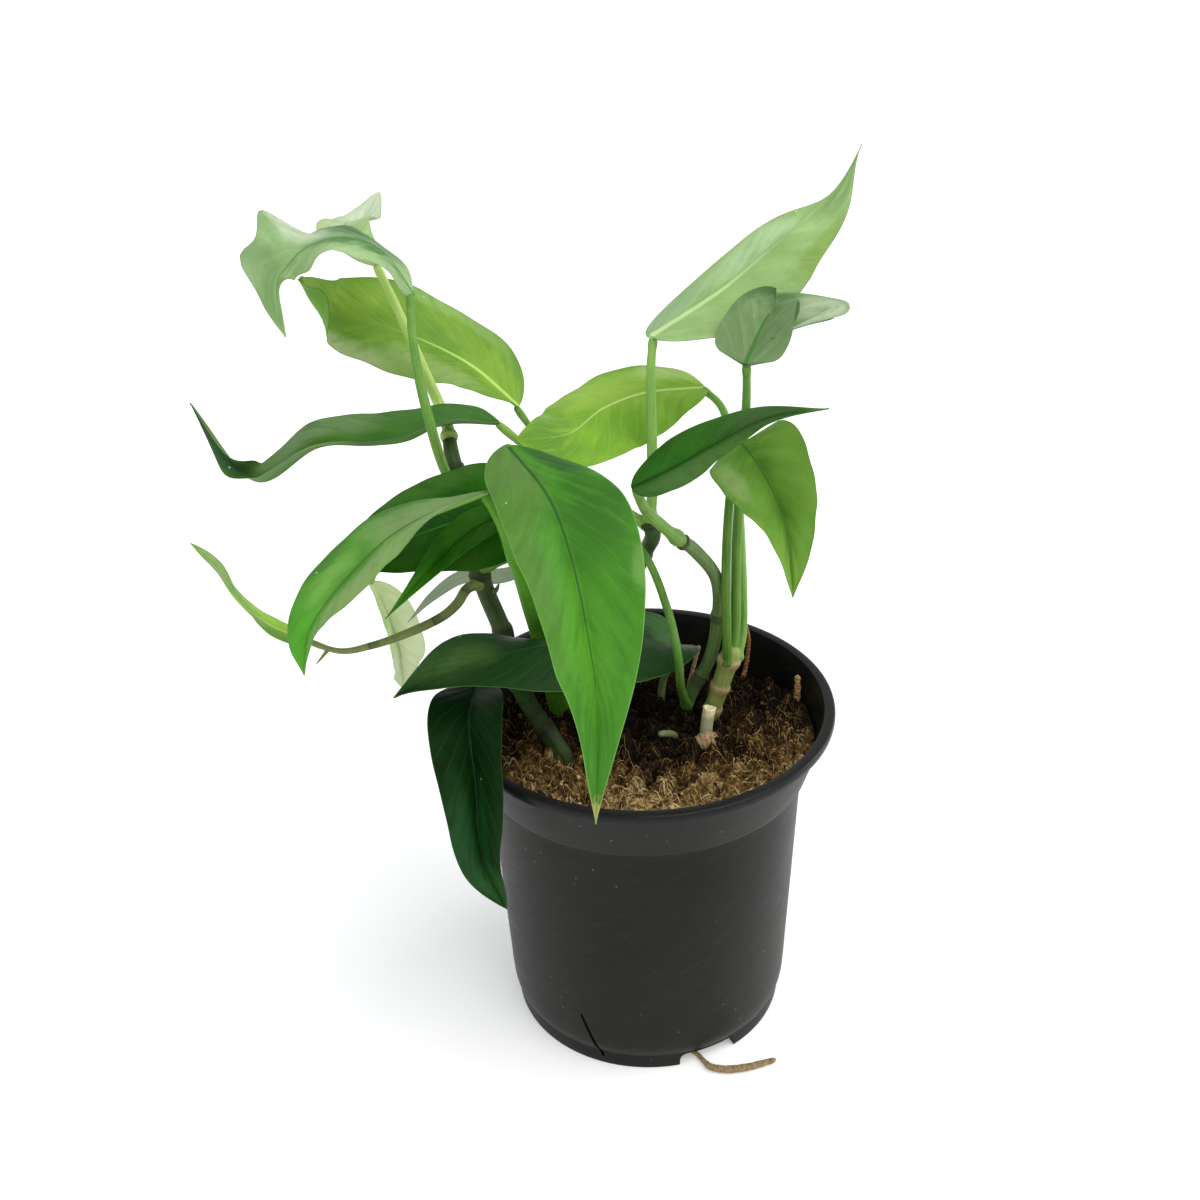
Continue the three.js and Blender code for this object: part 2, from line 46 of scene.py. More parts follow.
# Pot
POT_HEIGHT = 113
RIM_RADIUS = 60
LIP_HEIGHT = 3
LIP_WIDTH = 3.5
STEP_RADIUS = 50.6
STEP_HEIGHT = 92.5
FOOT_RADIUS = 44.8
FOOT_HEIGHT = 5.5
WALL = 1.3
FLOOR_THICKNESS = 3
DRAIN_COUNT = 3
DRAIN_WIDTH = 20
DRAIN_HEIGHT = 4.6
DRAIN_CORNER = 2.4
DRAIN_DEPTH = 10
DRAIN_SETBACK = 7
DRAIN_FIRST_ANGLE = -64.5
SLIT_ANGLE = -113.7
SLIT_WIDTH = 1
SLIT_BOTTOM = 2.5
SLIT_TOP = 21.5
SLIT_LEAN = 20
SLIT_DEPTH = 8
SLIT_SETBACK = 4
POT_SEGMENTS = 192
SHARP_DEGREES = 35

# Soil
SOIL_LEVEL = 98
SOIL_FLOOR = 3.4
SOIL_CLEARANCE = 0.5
SOIL_SECTORS = 220
SOIL_RINGS = 84
SOIL_REACH = 52
FIBRE_REACH = 51.5
FIBRE_COUNT = 4200
CRUMB_COUNT = 3600

# Leaf blades
BLADE_STATIONS = 112
HALF_COLUMNS = 18
BLADE_THICKNESS = 0.42
MARGIN_THICKNESS = 0.16
VEIN_SPACING = 6.5
VEIN_SWEEP = 0.24
LEAF_GAIN = (1.02, 0.92, 0.76)
PALE_GAIN = (0.93, 0.95, 0.98)

# Stalks and stems
STALK_GAIN = (1.02, 0.95, 0.72)
STREAK_GAIN = (0.82, 0.77, 0.55)
RING_COLOUR = "#3a3a26"
STALK_NODE_COLOUR = "#4a5a38"
SHOOT_NODES = [(11, 0.3), (30, 0.3), (48, 0.3)]
WING_HEIGHT = 1.7
STALK_TIP_SHARE = 0.8
CORE_SHARE = 0.72
CORE_DEPTH = 1.3

# Camera: the fitted place and aim of the photograph, for a frame 1500 px deep and 1200 px wide
CAMERA_PLACE = (0, -397.3, 369.9)
CAMERA_AIM = (-0.0273, 0.8741, -0.4850)
CAMERA_UP = (0.0195, 0.4855, 0.8740)
FOCAL_PX = 1500
FRAME_PX = 1200
SENSOR_MM = 36

# Studio: a wide floor, an even sky and three soft suns, each with the way it comes from, its spread
# in degrees, its strength and its colour
FLOOR_REACH = 30
SKY_COLOUR = (0.98, 0.99, 1.0, 1.0)
SKY_STRENGTH = 0.68
SUNS = [
    ("key", (0.5, -0.35, 0.9), 60, 1.6, (1.0, 0.985, 0.95)),
    ("fill", (-0.8, -0.7, 0.5), 60, 0.3, (0.95, 0.98, 1.0)),
    ("rim", (1.0, 0.3, 0.3), 25, 0.8, (1.0, 1.0, 1.0)),
]


def tint(code, gain=(1.0, 1.0, 1.0)):
    """A colour given as it looks on a screen, such as #4f9a3a, as linear light times a gain."""
    shown = [int(code[i:i + 2], 16) / 255 for i in (1, 3, 5)]
    linear = [c / 12.92 if c <= 0.04045 else ((c + 0.055) / 1.055) ** 2.4 for c in shown]
    return tuple(min(1.0, c * g) for c, g in zip(linear, gain)) + (1.0,)


# Shader maths


class Field:
    """An output socket of a finish. Sums and products of fields and numbers add Math nodes."""

    def __init__(self, finish, socket):
        self.finish = finish
        self.socket = socket

    def also(self, output):
        return Field(self.finish, self.socket.node.outputs[output])

    def join(self, operation, first, second=None):
        inputs = [first] if second is None else [first, second]
        return self.finish.node("ShaderNodeMath", {"operation": operation}, inputs)

    def __add__(self, other):
        return self.join("ADD", self, other)

    def __radd__(self, other):
        return self.join("ADD", other, self)

    def __sub__(self, other):
        return self.join("SUBTRACT", self, other)

    def __rsub__(self, other):
        return self.join("SUBTRACT", other, self)

    def __mul__(self, other):
        return self.join("MULTIPLY", self, other)

    def __rmul__(self, other):
        return self.join("MULTIPLY", other, self)

    def __truediv__(self, other):
        return self.join("DIVIDE", self, other)

    def __rtruediv__(self, other):
        return self.join("DIVIDE", other, self)

    def __pow__(self, other):
        return self.join("POWER", self, other)

    def __abs__(self):
        return self.join("ABSOLUTE", self)


class Finish:
    """A procedural material. node() adds any node, and the other methods are short forms of it."""

    def __init__(self, name):
        self.material = bpy.data.materials.new(name)
        self.material.use_nodes = True
        self.tree = self.material.node_tree
        self.tree.nodes.clear()

    def node(self, kind, settings=None, inputs=(), output=0):
        made = self.tree.nodes.new(kind)
        for key, value in (settings or {}).items():
            if key == "stops":
                while len(made.color_ramp.elements) < len(value):
                    made.color_ramp.elements.new(0.5)
                for stop, (place, colour) in zip(made.color_ramp.elements, value):
                    stop.position = place
                    stop.color = colour
            else:
                setattr(made, key, value)
        pairs = inputs.items() if isinstance(inputs, dict) else enumerate(inputs)
        for key, value in pairs:
            if isinstance(value, Field):
                self.tree.links.new(value.socket, made.inputs[key])
            else:
                made.inputs[key].default_value = value
        return made if output is None else Field(self, made.outputs[output])

    def place(self):
        return self.node("ShaderNodeTexCoord", output="Object")

    def parts(self, vector):
        return self.node("ShaderNodeSeparateXYZ", inputs=[vector])

    def painted(self, name):
        """The first part of an attribute of the mesh, with the others as also("Y") and also("Z")."""
        return self.parts(self.node("ShaderNodeAttribute", {"attribute_name": name}, output="Vector"))

    def stretched(self, scale):
        return self.node("ShaderNodeVectorMath", {"operation": "MULTIPLY"}, [self.place(), scale])

    def noise(self, where, scale, detail=2.0, roughness=0.5):
        inputs = {"Vector": where, "Scale": scale, "Detail": detail, "Roughness": roughness}
        return self.node("ShaderNodeTexNoise", inputs=inputs)

    def specks(self, where, scale):
        return self.node("ShaderNodeTexVoronoi", inputs={"Vector": where, "Scale": scale})

    def smooth(self, low, high, value):
        settings = {"interpolation_type": "SMOOTHSTEP"}
        inputs = {"Value": value, "From Min": low, "From Max": high}
        return self.node("ShaderNodeMapRange", settings, inputs)

    def clamp(self, value):
        return self.node("ShaderNodeClamp", inputs=[value])

    def mix(self, share, first, second):
        settings = {"data_type": "RGBA"}
        return self.node("ShaderNodeMix", settings, {0: share, 6: first, 7: second}, output=2)

    def ramp(self, value, stops):
        settings = {"stops": [(place, tint(code)) for place, code in stops]}
        return self.node("ShaderNodeValToRGB", settings, [value])

    def bump(self, height, strength, distance):
        inputs = {"Height": height, "Strength": strength, "Distance": distance}
        return self.node("ShaderNodeBump", inputs=inputs)

    def finish_with(self, **sockets):
        """Joins the surface to the output. The names of the sockets are written with underscores."""
        inputs = {name.replace("_", " "): value for name, value in sockets.items()}
        surface = self.node("ShaderNodeBsdfPrincipled", inputs=inputs)
        self.node("ShaderNodeOutputMaterial", inputs={"Surface": surface}, output=None)
        return self.material


# Curves and meshes


def along(points, t):
    """The Catmull-Rom curve through points at the shares t, as the construction draws it."""
    p = np.array(points, float)
    if p.ndim == 1:
        p = p[:, None]
    spans = len(p) - 1
    p = np.vstack([2 * p[0] - p[1], p, 2 * p[-1] - p[-2]])
    u = np.clip(np.asarray(t, float), 0, 1) * spans
    k = np.minimum(u.astype(int), spans - 1)
    f = (u - k)[:, None]
    a, b, c, d = p[k], p[k + 1], p[k + 2], p[k + 3]
    return 0.5 * (2 * b + (c - a) * f + (2 * a - 5 * b + 4 * c - d) * f**2 + (3 * b - a - 3 * c + d) * f**3)


def circle(count):
    return np.linspace(0, 2 * math.pi, count, endpoint=False)


def number_along(values, t):
    return along(values, t)[:, 0]


def unit(vectors):
    return vectors / np.linalg.norm(vectors, axis=-1, keepdims=True)


def headings(points, t):
    step = 1e-3
    return unit(along(points, np.minimum(t + step, 1)) - along(points, np.maximum(t - step, 0)))


def mesh_of(name, vertices, faces):
    """A mesh of vertices in millimetres."""
    mesh = bpy.data.meshes.new(name)
    mesh.from_pydata((np.asarray(vertices) * MM).tolist(), [], faces)
    return mesh


def put(name, data):
    """A new object of a mesh, a lamp or a camera, linked to the scene."""
    made = bpy.data.objects.new(name, data)
    bpy.context.scene.collection.objects.link(made)
    return made


def new_piece(name, vertices, faces, finish, replaced=(), smooth=True, attributes=None):
    """A visible piece of vertices in millimetres, riding on the plant."""
    mesh = mesh_of(name, vertices, faces)
    for key, values in (attributes or {}).items():
        layer = mesh.attributes.new(key, "FLOAT_VECTOR", "POINT")
        layer.data.foreach_set("vector", np.asarray(values, np.float32).ravel())
    mesh.validate()
    mesh.polygons.foreach_set("use_smooth", [smooth] * len(mesh.polygons))
    mesh.materials.append(finish)
    piece = put(name, mesh)
    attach(piece, "root")
    for node in replaced:
        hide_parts(node)
    return piece


def new_skin(name, shape, finish):
    """The skin that stands for one stem, stalk or dry piece."""
    vertices, faces, place = shape
    new_piece(name + "_skin", vertices, faces, finish, [name], attributes={"place": place})


def ring_faces(count, sides):
    """Quads between count rings of the same number of corners, facing out."""
    faces = []
    for i in range(count - 1):
        for j in range(sides):
            a = i * sides + j
            b = i * sides + (j + 1) % sides
            faces.append((a, b, b + sides, a + sides))
    return faces


def strip_caps(count, sides):
    """Closes both flat ends of a blade with quads between its two faces."""
    faces = []
    last = (count - 1) * sides
    for j in range(sides // 2):
        top, below = j, (sides - j) % sides
        next_top, next_below = j + 1, sides - j - 1
        corners = [top, below, next_below, next_top]
        near = list(dict.fromkeys(corners))
        if len(near) > 2:
            faces.append(tuple(near))
            faces.append(tuple(last + c for c in reversed(near)))
    return faces


def curl_frames(route, t, start=None):
    """Centres and two directions across, carried along a route without twist."""
    centres = along(route, t)
    forward = headings(route, t)
    if start is None:
        start = (1, 0, 0) if abs(forward[0][2]) > 0.8 else (0, 0, 1)
    side = np.array(start, float)
    sides = []
    for heading in forward:
        side = side - heading * (side @ heading)
        side = side / np.linalg.norm(side)
        sides.append(side.copy())
    sides = np.array(sides)
    return centres, sides, np.cross(forward, sides)


def route_length(route):
    points = along(route, np.linspace(0, 1, 200))
    return float(np.linalg.norm(np.diff(points, axis=0), axis=1).sum())


def ring_mesh(centres, side, up, size):
    """Round rings about the centres, joined and capped. Each row of size is one ring."""
    count, sides = size.shape
    angle = circle(sides)
    ring = centres[:, None, :] + size[..., None] * (
        np.cos(angle)[None, :, None] * side[:, None, :] + np.sin(angle)[None, :, None] * up[:, None, :])
    faces = ring_faces(count, sides)
    faces.append(tuple(reversed(range(sides))))
    faces.append(tuple((count - 1) * sides + j for j in range(sides)))
    return ring.reshape(-1, 3), faces


def tube_shape(route, radius, sides=20, step=1.1, relief=None, round_end=True, start=None):
    """Vertices, faces and the place attribute of a round stalk. relief adds to the radius."""
    length = route_length(route)
    count = max(8, int(length / step))
    t = np.linspace(0, 1, count)
    centres, side, up = curl_frames(route, t, start)
    angle = circle(sides)
    size = number_along(radius, t)[:, None] * np.ones(sides)[None, :]
    if relief is not None:
        size = size + relief(t[:, None] * length, angle[None, :], length)
    if round_end:
        tip = np.clip((1 - t) * length / np.maximum(size[:, 0], 0.1), 0, 1)[:, None]
        size = size * np.sqrt(np.maximum(1 - (1 - tip) ** 2, 0.02))
    place = np.stack(np.broadcast_arrays(t[:, None] * length, angle[None, :] / (2 * math.pi), length), -1)
    return *ring_mesh(centres, side, up, size), place.reshape(-1, 3)


def gather(shapes):
    """Joins shapes, each of vertices, faces and place, into one."""
    vertices, faces, places = [], [], []
    start = 0
    for corners, sides, place in shapes:
        vertices.append(corners)
        places.append(place)
        faces.extend(tuple(start + c for c in face) for face in sides)
        start += len(corners)
    return np.vstack(vertices), faces, np.vstack(places)


# Leaves. Each has the route of its midrib from base to tip, the way its visible face looks, its
# full width, the fold of its halves in degrees, and its colours. s runs from -1 at the left margin
# to 1 at the right one and t from base to tip. A patch is t, s, its two half sizes, colour, share.
# Some patches are the leaf's own tone, others painted sheen, glare and shade.


def new_leaf(name, slot, colours, **own):
    """What most leaves share, and what this one has of its own."""
    leaf = {"name": "leaf_" + name, "slot": "leaf_" + slot, "back": False, "base": 0.6, "taper": 1,
            "lean": 0, "wave": 0.3, "vein_share": 0.2, "rib_width": 0.5, "rib_reach": 1,
            "gain": PALE_GAIN if slot == "pale" else LEAF_GAIN}
    leaf.update(zip(("tone", "deep", "vein", "rib", "edge", "under"), colours.split()), **own)
    leaf.setdefault("fold_left", leaf["fold"])
    return leaf


LEAVES = [
    new_leaf(
        "front_drooping", "green", "#468a2a #2f6a1e #5fa040 #245a20 #8fc070 #7fae62",
        route=[(-36, -19, 209), (-24, -40, 203), (-18, -52, 191), (-14, -63, 174), (-12, -69, 155),
               (-13, -81, 127)],
        face=[(0.3, -0.3, 0.9), (0.3, -0.7, 0.6), (0.1, -1, 0.2)],
        width=38, taper=1.1, fold=[-5, 30, 30], wave=0.35, vein_share=0.07, rib_width=0.55,
        # Its grey-green patches at s 0.5 and 0.8 are painted sheen, the dark ones at s -0.75 and -0.6
        # painted shade, and the pale fleck at s -0.97 a painted glare; the tan tip is its own.
        patches=[(0.1, 0.5, 0.24, 0.8, "#58803f", 0.85), (0.42, 0.8, 0.35, 0.4, "#4f7c34", 0.8),
                 (0.07, -0.75, 0.1, 0.5, "#23501c", 0.85), (0.27, -0.6, 0.2, 0.6, "#2f6820", 0.85),
                 (0.64, 0.05, 0.24, 0.8, "#58a033", 0.75), (0.46, -0.97, 0.05, 0.2, "#a9cf90", 0.2),
                 (0.92, 0, 0.13, 1, "#4a9030", 0.6), (1, 0, 0.025, 1.5, "#b9aa78", 0.9)]),
    new_leaf(
        "front_left", "green", "#54963a #3c7c2a #6fae52 #396f2c #5f8a52 #86b268",
        route=[(-40, -36, 203), (-63, -36, 193), (-77, -45, 184), (-87, -56, 174), (-88, -67, 166)],
        face=[(0.1, 0.3, 0.9), (-0.5, -0.4, 0.8), (-0.5, -0.8, 0.2)],
        width=24, fold=[5, 10, 30], vein_share=0.15,
        patches=[(0.15, 0.3, 0.3, 0.9, "#7d9a70", 0.8), (0.45, -0.7, 0.6, 0.6, "#86a874", 0.8),
                 (0.55, 0.4, 0.16, 0.4, "#7fb860", 0.5), (0.88, 0.2, 0.28, 1.2, "#4fa62c", 0.8),
                 (0.35, 0.95, 0.4, 0.2, "#3c7030", 0.6)]),
    new_leaf(
        "dark_left", "dark", "#1f5c0c #123f06 #347a1e #3c8a26 #2c5a26 #2a6018",
        route=[(-32, -7, 186), (-40, -11, 186), (-55, -17, 184), (-71, -25, 181), (-82, -30, 176)],
        face=[(0.1, -0.5, 0.8), (-0.1, -0.5, 0.8), (-0.3, -0.6, 0.7)],
        width=36, fold=[5, 0, 25], rib_width=0.6, rib_reach=0.8,
        # The lighter patch at t 0.55, s -0.8 is a painted sheen.
        patches=[(0.5, 0.9, 0.8, 0.4, "#3c6a2c", 0.85), (0.14, 0.2, 0.25, 0.7, "#2f800f", 0.8),
                 (0.4, -0.1, 0.22, 0.35, "#123f06", 0.8), (0.72, -0.4, 0.3, 0.6, "#2f6f1c", 0.6),
                 (0.55, -0.8, 0.3, 0.3, "#47702f", 0.5)]),
    new_leaf(
        "small_dark_left", "dark", "#2c6a14 #1c4f0c #3b7f25 #2a5a18 #3a7426 #3b7a26",
        route=[(-34, -19, 190), (-45, -25, 187), (-53, -31, 183), (-60, -38, 178), (-69, -47, 171)],
        face=[(0.3, -0.5, 0.8), (0.3, -0.5, 0.8), (0.2, -0.7, 0.6)],
        width=11, taper=1.3, fold=[15, 30, 20], wave=0.1, vein_share=0.1, rib_width=0.4,
        patches=[(0.2, 0, 0.4, 1.2, "#3f6f2c", 0.7), (0.9, 0, 0.3, 1.2, "#3d8020", 0.7)]),
    new_leaf(
        "low_dark", "dark", "#1d421c #173818 #2f5a3b #2a5236 #6f8f6c #3a6440",
        route=[(13, 27, 116), (-1, 14, 127), (-25, -9, 140), (-49, -25, 143), (-71, -38, 140)],
        face=[(0, -0.2, 1), (0, -0.2, 1), (0, -0.6, 0.8)],
        width=35, base=0.4, taper=0.8, fold=[35, -30, 60], vein_share=0.25,
        patches=[(0.85, 0.3, 0.2, 1.3, "#3f6638", 0.8), (0.76, 0.2, 0.12, 0.55, "#4f7344", 0.6),
                 (0.05, 0.2, 0.16, 1.3, "#447046", 0.9), (0.5, 0.9, 0.5, 0.3, "#365c3c", 0.6)]),
    new_leaf(
        "hanging_left", "dark", "#0f3410 #081f08 #245234 #1f4a2c #356035 #2c5a34",
        route=[(-50, -14, 129), (-51, -31, 127), (-49, -43, 113), (-48, -49, 92), (-42, -50, 72)],
        face=[(-0.1, -0.6, 0.8), (0, -1, 0.2), (0, -1, 0)],
        width=27, base=0.55, taper=0.9, fold=[10, 45, 40], wave=0.2, vein_share=0.3, rib_width=0.4,
        # The bluish patches at t 0.7 and 0.75 are partly the plant's own blue cast and partly painted
        # sheen.
        patches=[(0.7, 0.6, 0.3, 0.5, "#2b5a38", 0.6), (0.75, -0.2, 0.3, 0.35, "#1f4f2f", 0.6),
                 (0.9, 0, 0.15, 1.2, "#2a5c2c", 0.7)]),
    new_leaf(
        "dark_right", "dark", "#2f6420 #224f16 #44803a #1f4a1c #4a7a40 #5f8a55",
        route=[(-2, -23, 197), (10, -25, 204), (21, -26, 211), (34, -27, 218), (50, -30, 222)],
        face=[(0, -0.6, 0.8), (0.1, -0.6, 0.8), (0.1, -0.5, 0.9)],
        width=15, base=0.55, taper=1.2, fold=[0, 25, 35], wave=0.2, vein_share=0.15,
        patches=[(0.3, 0.6, 0.5, 0.6, "#4f7a44", 0.85), (0.75, -0.2, 0.3, 1.2, "#44603f", 0.75),
                 (1, 0, 0.12, 1.2, "#7aa052", 0.8), (0.2, -0.4, 0.25, 0.6, "#276a1e", 0.6)]),
    new_leaf(
        "hanging_right", "green", "#6a9a40 #4f862e #5f9f4c #3a7a2c #3f6f3a #6f9f5c",
        route=[(30, 6, 197), (34, -1, 194), (39, -8, 186), (42, -14, 177), (43, -25, 163)],
        face=[(-0.2, -0.5, 0.8), (0, -0.9, 0.4), (0.2, -1, 0.1)],
        width=34, fold=[10, 45, 45],
        patches=[(0.2, 0.1, 0.22, 0.7, "#4c7c2a", 0.8), (0.6, -0.5, 0.4, 0.7, "#6c9f44", 0.6),
                 (0.85, 0.1, 0.25, 1.2, "#78ac4c", 0.7), (0.35, 0.75, 0.2, 0.3, "#86a672", 0.7)]),
    new_leaf(
        "bright_centre", "bright", "#80b43c #5f9a30 #9aca58 #c3e09a #5f8f45 #8fbf5a",
        route=[(21, 36, 203), (3, 28, 205), (-10, 16, 205), (-20, 2, 203), (-34, -11, 207)],
        face=[(-0.1, -0.2, 1), (-0.2, -0.3, 0.9), (0.1, -0.7, 0.7)],
        width=34, taper=0.9, fold=[15, -3, 4], fold_left=[5, -28, -20], wave=0.4, rib_width=0.6,
        rib_reach=0.85,
        patches=[(0.35, 0.5, 0.3, 0.6, "#98c654", 0.75), (0.45, -0.6, 0.4, 0.5, "#6aa236", 0.8),
                 (0.1, 0.7, 0.2, 0.5, "#b3d69a", 0.6), (0.88, 0.2, 0.25, 1.2, "#5c8c34", 0.9),
                 (0.2, -0.5, 0.2, 0.6, "#86b844", 0.5)]),
    new_leaf(
        "broad_back_left", "bright", "#6f9c3c #558630 #86b058 #b4df80 #3f5234 #5f9a3a",
        route=[(-38, 48, 193), (-54, 54, 206), (-76, 51, 219), (-96, 49, 225), (-99, 33, 241)],
        face=[(0, 0.1, 1), (0.1, -0.6, 0.8), (0, -0.7, 0.7)],
        width=34, base=0.5, taper=0.8, fold=[25, 8, 40], back=True, wave=0.5, vein_share=0.22,
        rib_width=1.3, rib_reach=0.5,
        patches=[(0.12, 0.3, 0.2, 0.7, "#80b040", 0.85), (0.35, -0.7, 0.3, 0.5, "#86a86c", 0.8),
                 (0.7, -0.9, 0.25, 0.5, "#a0b890", 0.85), (0.68, 0.5, 0.25, 0.6, "#86b04a", 0.8),
                 (0.35, 0.9, 0.25, 0.25, "#90b87a", 0.5), (0.5, 0.1, 0.14, 0.5, "#5f8c2c", 0.6)]),
    new_leaf(
        "long_wavy_left", "green", "#3e7024 #2c5a1a #559245 #2c5f22 #4a5a44 #5f8a4c",
        route=[(-42, 27, 197), (-57, 23, 199), (-75, 15, 197), (-94, 9, 198), (-114, 8, 188),
               (-130, 10, 212)],
        face=[(-0.1, 0, 1), (-0.2, 0, 1), (0, -0.1, 1), (-0.3, 0, 0.9), (-0.8, -0.4, 0.5)],
        width=24, fold=[15, 20, 45], wave=0.4, vein_share=0.15,
        patches=[(0.6, 0.7, 0.3, 0.6, "#6c8f68", 0.85), (0.62, -0.6, 0.12, 0.5, "#7a9f66", 0.7),
                 (0.2, 0.4, 0.25, 0.8, "#3f7438", 0.7), (0.95, 0, 0.22, 1.3, "#2c4a38", 0.9),
                 (0.42, -0.3, 0.12, 0.6, "#2f6a20", 0.6)]),
    new_leaf(
        "arched_left", "pale", "#94b078 #76985c #a8c090 #4f7f42 #4c6f40 #5c8a4c",
        route=[(-64, 21, 239), (-72, 16, 254), (-85, 11, 258), (-97, 4, 251), (-96, -4, 236)],
        face=[(-0.2, -0.3, 0.9), (-0.1, -0.1, 1), (-0.7, -0.2, 0.6), (-0.4, -0.7, -0.7),
              (-0.9, -0.5, 0)],
        width=26, fold=[5, 0, 10, 35], fold_left=[-10, -30, -5, 15], lean=0.5, back=True,
        # The pale patch at the left margin, s -0.85, is a painted glare.
        patches=[(0.3, -0.12, 0.34, 0.42, "#42733a", 0.9), (0.28, 0.8, 0.26, 0.8, "#35642a", 1),
                 (0.4, -0.85, 0.3, 0.3, "#a3bc8a", 0.7), (0.55, 0.6, 0.14, 0.6, "#c3d3b4", 0.85),
                 (0.86, 0, 0.16, 1.4, "#6f9a55", 0.8), (1, 0, 0.06, 1.4, "#8ab83c", 0.8)]),
    new_leaf(
        "pale_back_left", "pale", "#b4c894 #9dba78 #b7cd94 #7f9f5c #7f9f5f #9abb72",
        route=[(-76, 38, 243), (-85, 45, 249), (-87, 54, 251), (-84, 66, 249), (-80, 78, 255)],
        face=[(0, -0.3, 1), (-0.1, -0.2, 1), (0, -0.3, 1)],
        width=17, taper=0.8, fold=[15, 15, 10], back=True, vein_share=0.4,
        patches=[(0.15, 0, 0.3, 1.4, "#86b05c", 0.85), (0.85, 0, 0.35, 1.4, "#cdd8be", 0.9)]),
    new_leaf(
        "curled_right", "pale", "#76925f #5a7848 #98ae88 #3f7a2c #6f8a62 #7fa06f",
        route=[(30, -3, 224), (36.55, 10.44, 232.29), (40.67, 14.2, 232.72), (57.65, 13.08, 234.68),
               (37.32, -1.04, 231.47)],
        face=[(-0.19, -0.97, 0.32), (0.1, -0.7, 0.73), (-0.42, -0.73, 0.48), (-0.49, -0.52, 0.79),
              (-0.74, -0.65, -0.16)],
        width=24.22, base=0.14, taper=1.29, fold=[40, 55, 10, 15], fold_left=[14, 21, 38, -20, 50],
        lean=0.07, back=True, wave=0.2, rib_width=1.2, rib_reach=0.55,
        patches=[(0.1, -0.4, 0.2, 0.9, "#6c8653", 0.8), (0.4, -0.95, 0.25, 0.3, "#4c6f3c", 0.85),
                 (0.75, 0, 0.3, 1.3, "#b9c8a5", 0.9)]),
    new_leaf(
        "tall_right", "bright", "#9cbc78 #7fa45c #b0cc90 #c6e39c #566a4a #6f9f4c",
        route=[(4, 5, 230), (25.05, 25, 236.58), (42.38, 28, 250.24), (56.97, 33, 259.3), (66, 44, 273)],
        face=[(-0.2, -0.12, 0.7), (-0.05, -0.43, 0.43), (-0.5, -0.75, 0.4)],
        width=29.77, base=0.54, taper=1.7, fold=[-5, -5, 4.49], lean=0.28, back=True, wave=0.1,
        rib_width=1.2, rib_reach=0.5, gain=PALE_GAIN,
        # The pale patch at t 0.42, s -0.5 is a painted sheen; the olive one at s 0.85 is the leaf's own.
        patches=[(0.42, -0.5, 0.22, 0.6, "#bcd8a4", 0.8), (0.6, 0.85, 0.2, 0.4, "#7f9f44", 0.85),
                 (0.12, -0.6, 0.2, 0.6, "#98b488", 0.8), (0.88, 0, 0.25, 1.2, "#7a9a5c", 0.9),
                 (0.35, 0.4, 0.2, 0.5, "#a6c87c", 0.7)]),
    new_leaf(
        "young_narrow", "bright", "#74ac42 #569034 #9acb68 #b6dc7c #5f9a45 #8fc05c",
        route=[(-105, 4, 135), (-115, -2, 145), (-121, -6, 156), (-125, -8, 167), (-130, -11, 177)],
        face=[(0.3, -0.4, 0.9), (0.4, 0.1, 0.9), (0.3, -0.4, 0.9)],
        width=11, base=0.5, taper=0.9, fold=[-5, 10, 20], wave=0.1, vein_share=0.1, rib_width=0.4,
        rib_reach=0.8,
        patches=[(0.2, 0.5, 0.35, 0.8, "#a6d958", 0.8), (0.8, 0, 0.25, 1.2, "#9fb98a", 0.7)]),
    new_leaf(
        # Its near-white tones are partly the leaf's own pale colour and partly painted light, set lighter
        # to make up for the shade of the leaf above it.
        "pale_low_left", "pale", "#e9f4d8 #cfe4b2 #fbfff2 #9cc084 #a9c98a #c8dcae",
        route=[(-87, 23, 145), (-83, 24, 134), (-80, 24, 121), (-80, 26, 112), (-80, 27, 102)],
        face=[(0.7, -0.5, 0.5), (0.6, -0.7, 0.3), (0.7, -0.7, 0.1)],
        width=19, taper=0.9, fold=[45, 45, 15], back=True, wave=0.2, vein_share=0.35,
        gain=(0.98, 1.02, 0.8),
        patches=[(0.15, 0.7, 0.25, 0.6, "#a3c880", 0.7), (0.85, 0, 0.35, 1.2, "#e6f0da", 0.7)]),
    new_leaf(
        "narrow_behind", "pale", "#a9b598 #8d9d7d #b5c2a8 #7f8f6c #7f8f72 #97a886",
        route=[(-32, 22, 150), (-44, 20, 147), (-56, 20, 147), (-66, 17, 142), (-74, 14, 135)],
        face=[(0.1, -0.4, 0.9), (0, -0.5, 0.9), (-0.1, -0.7, 0.7)],
        width=6.5, base=0.5, taper=1.1, fold=[20, 25, 15], back=True, wave=0.1, rib_width=0.3,
        patches=[]),
]


def leaf_stations():
    share = np.linspace(0, 1, BLADE_STATIONS)
    return share - 0.07 * np.sin(2 * math.pi * share)


def vein_place(t, across, count):
    """Which side vein a point of the blade is at: they leave the midrib and sweep to the tip."""
    return (t - VEIN_SWEEP * across * (1.35 - 0.35 * across)) * count


def outline(leaf, t):
    peak = leaf["base"] / (leaf["base"] + leaf["taper"])
    top = peak ** leaf["base"] * (1 - peak) ** leaf["taper"]
    return t ** leaf["base"] * (1 - t) ** leaf["taper"] / top


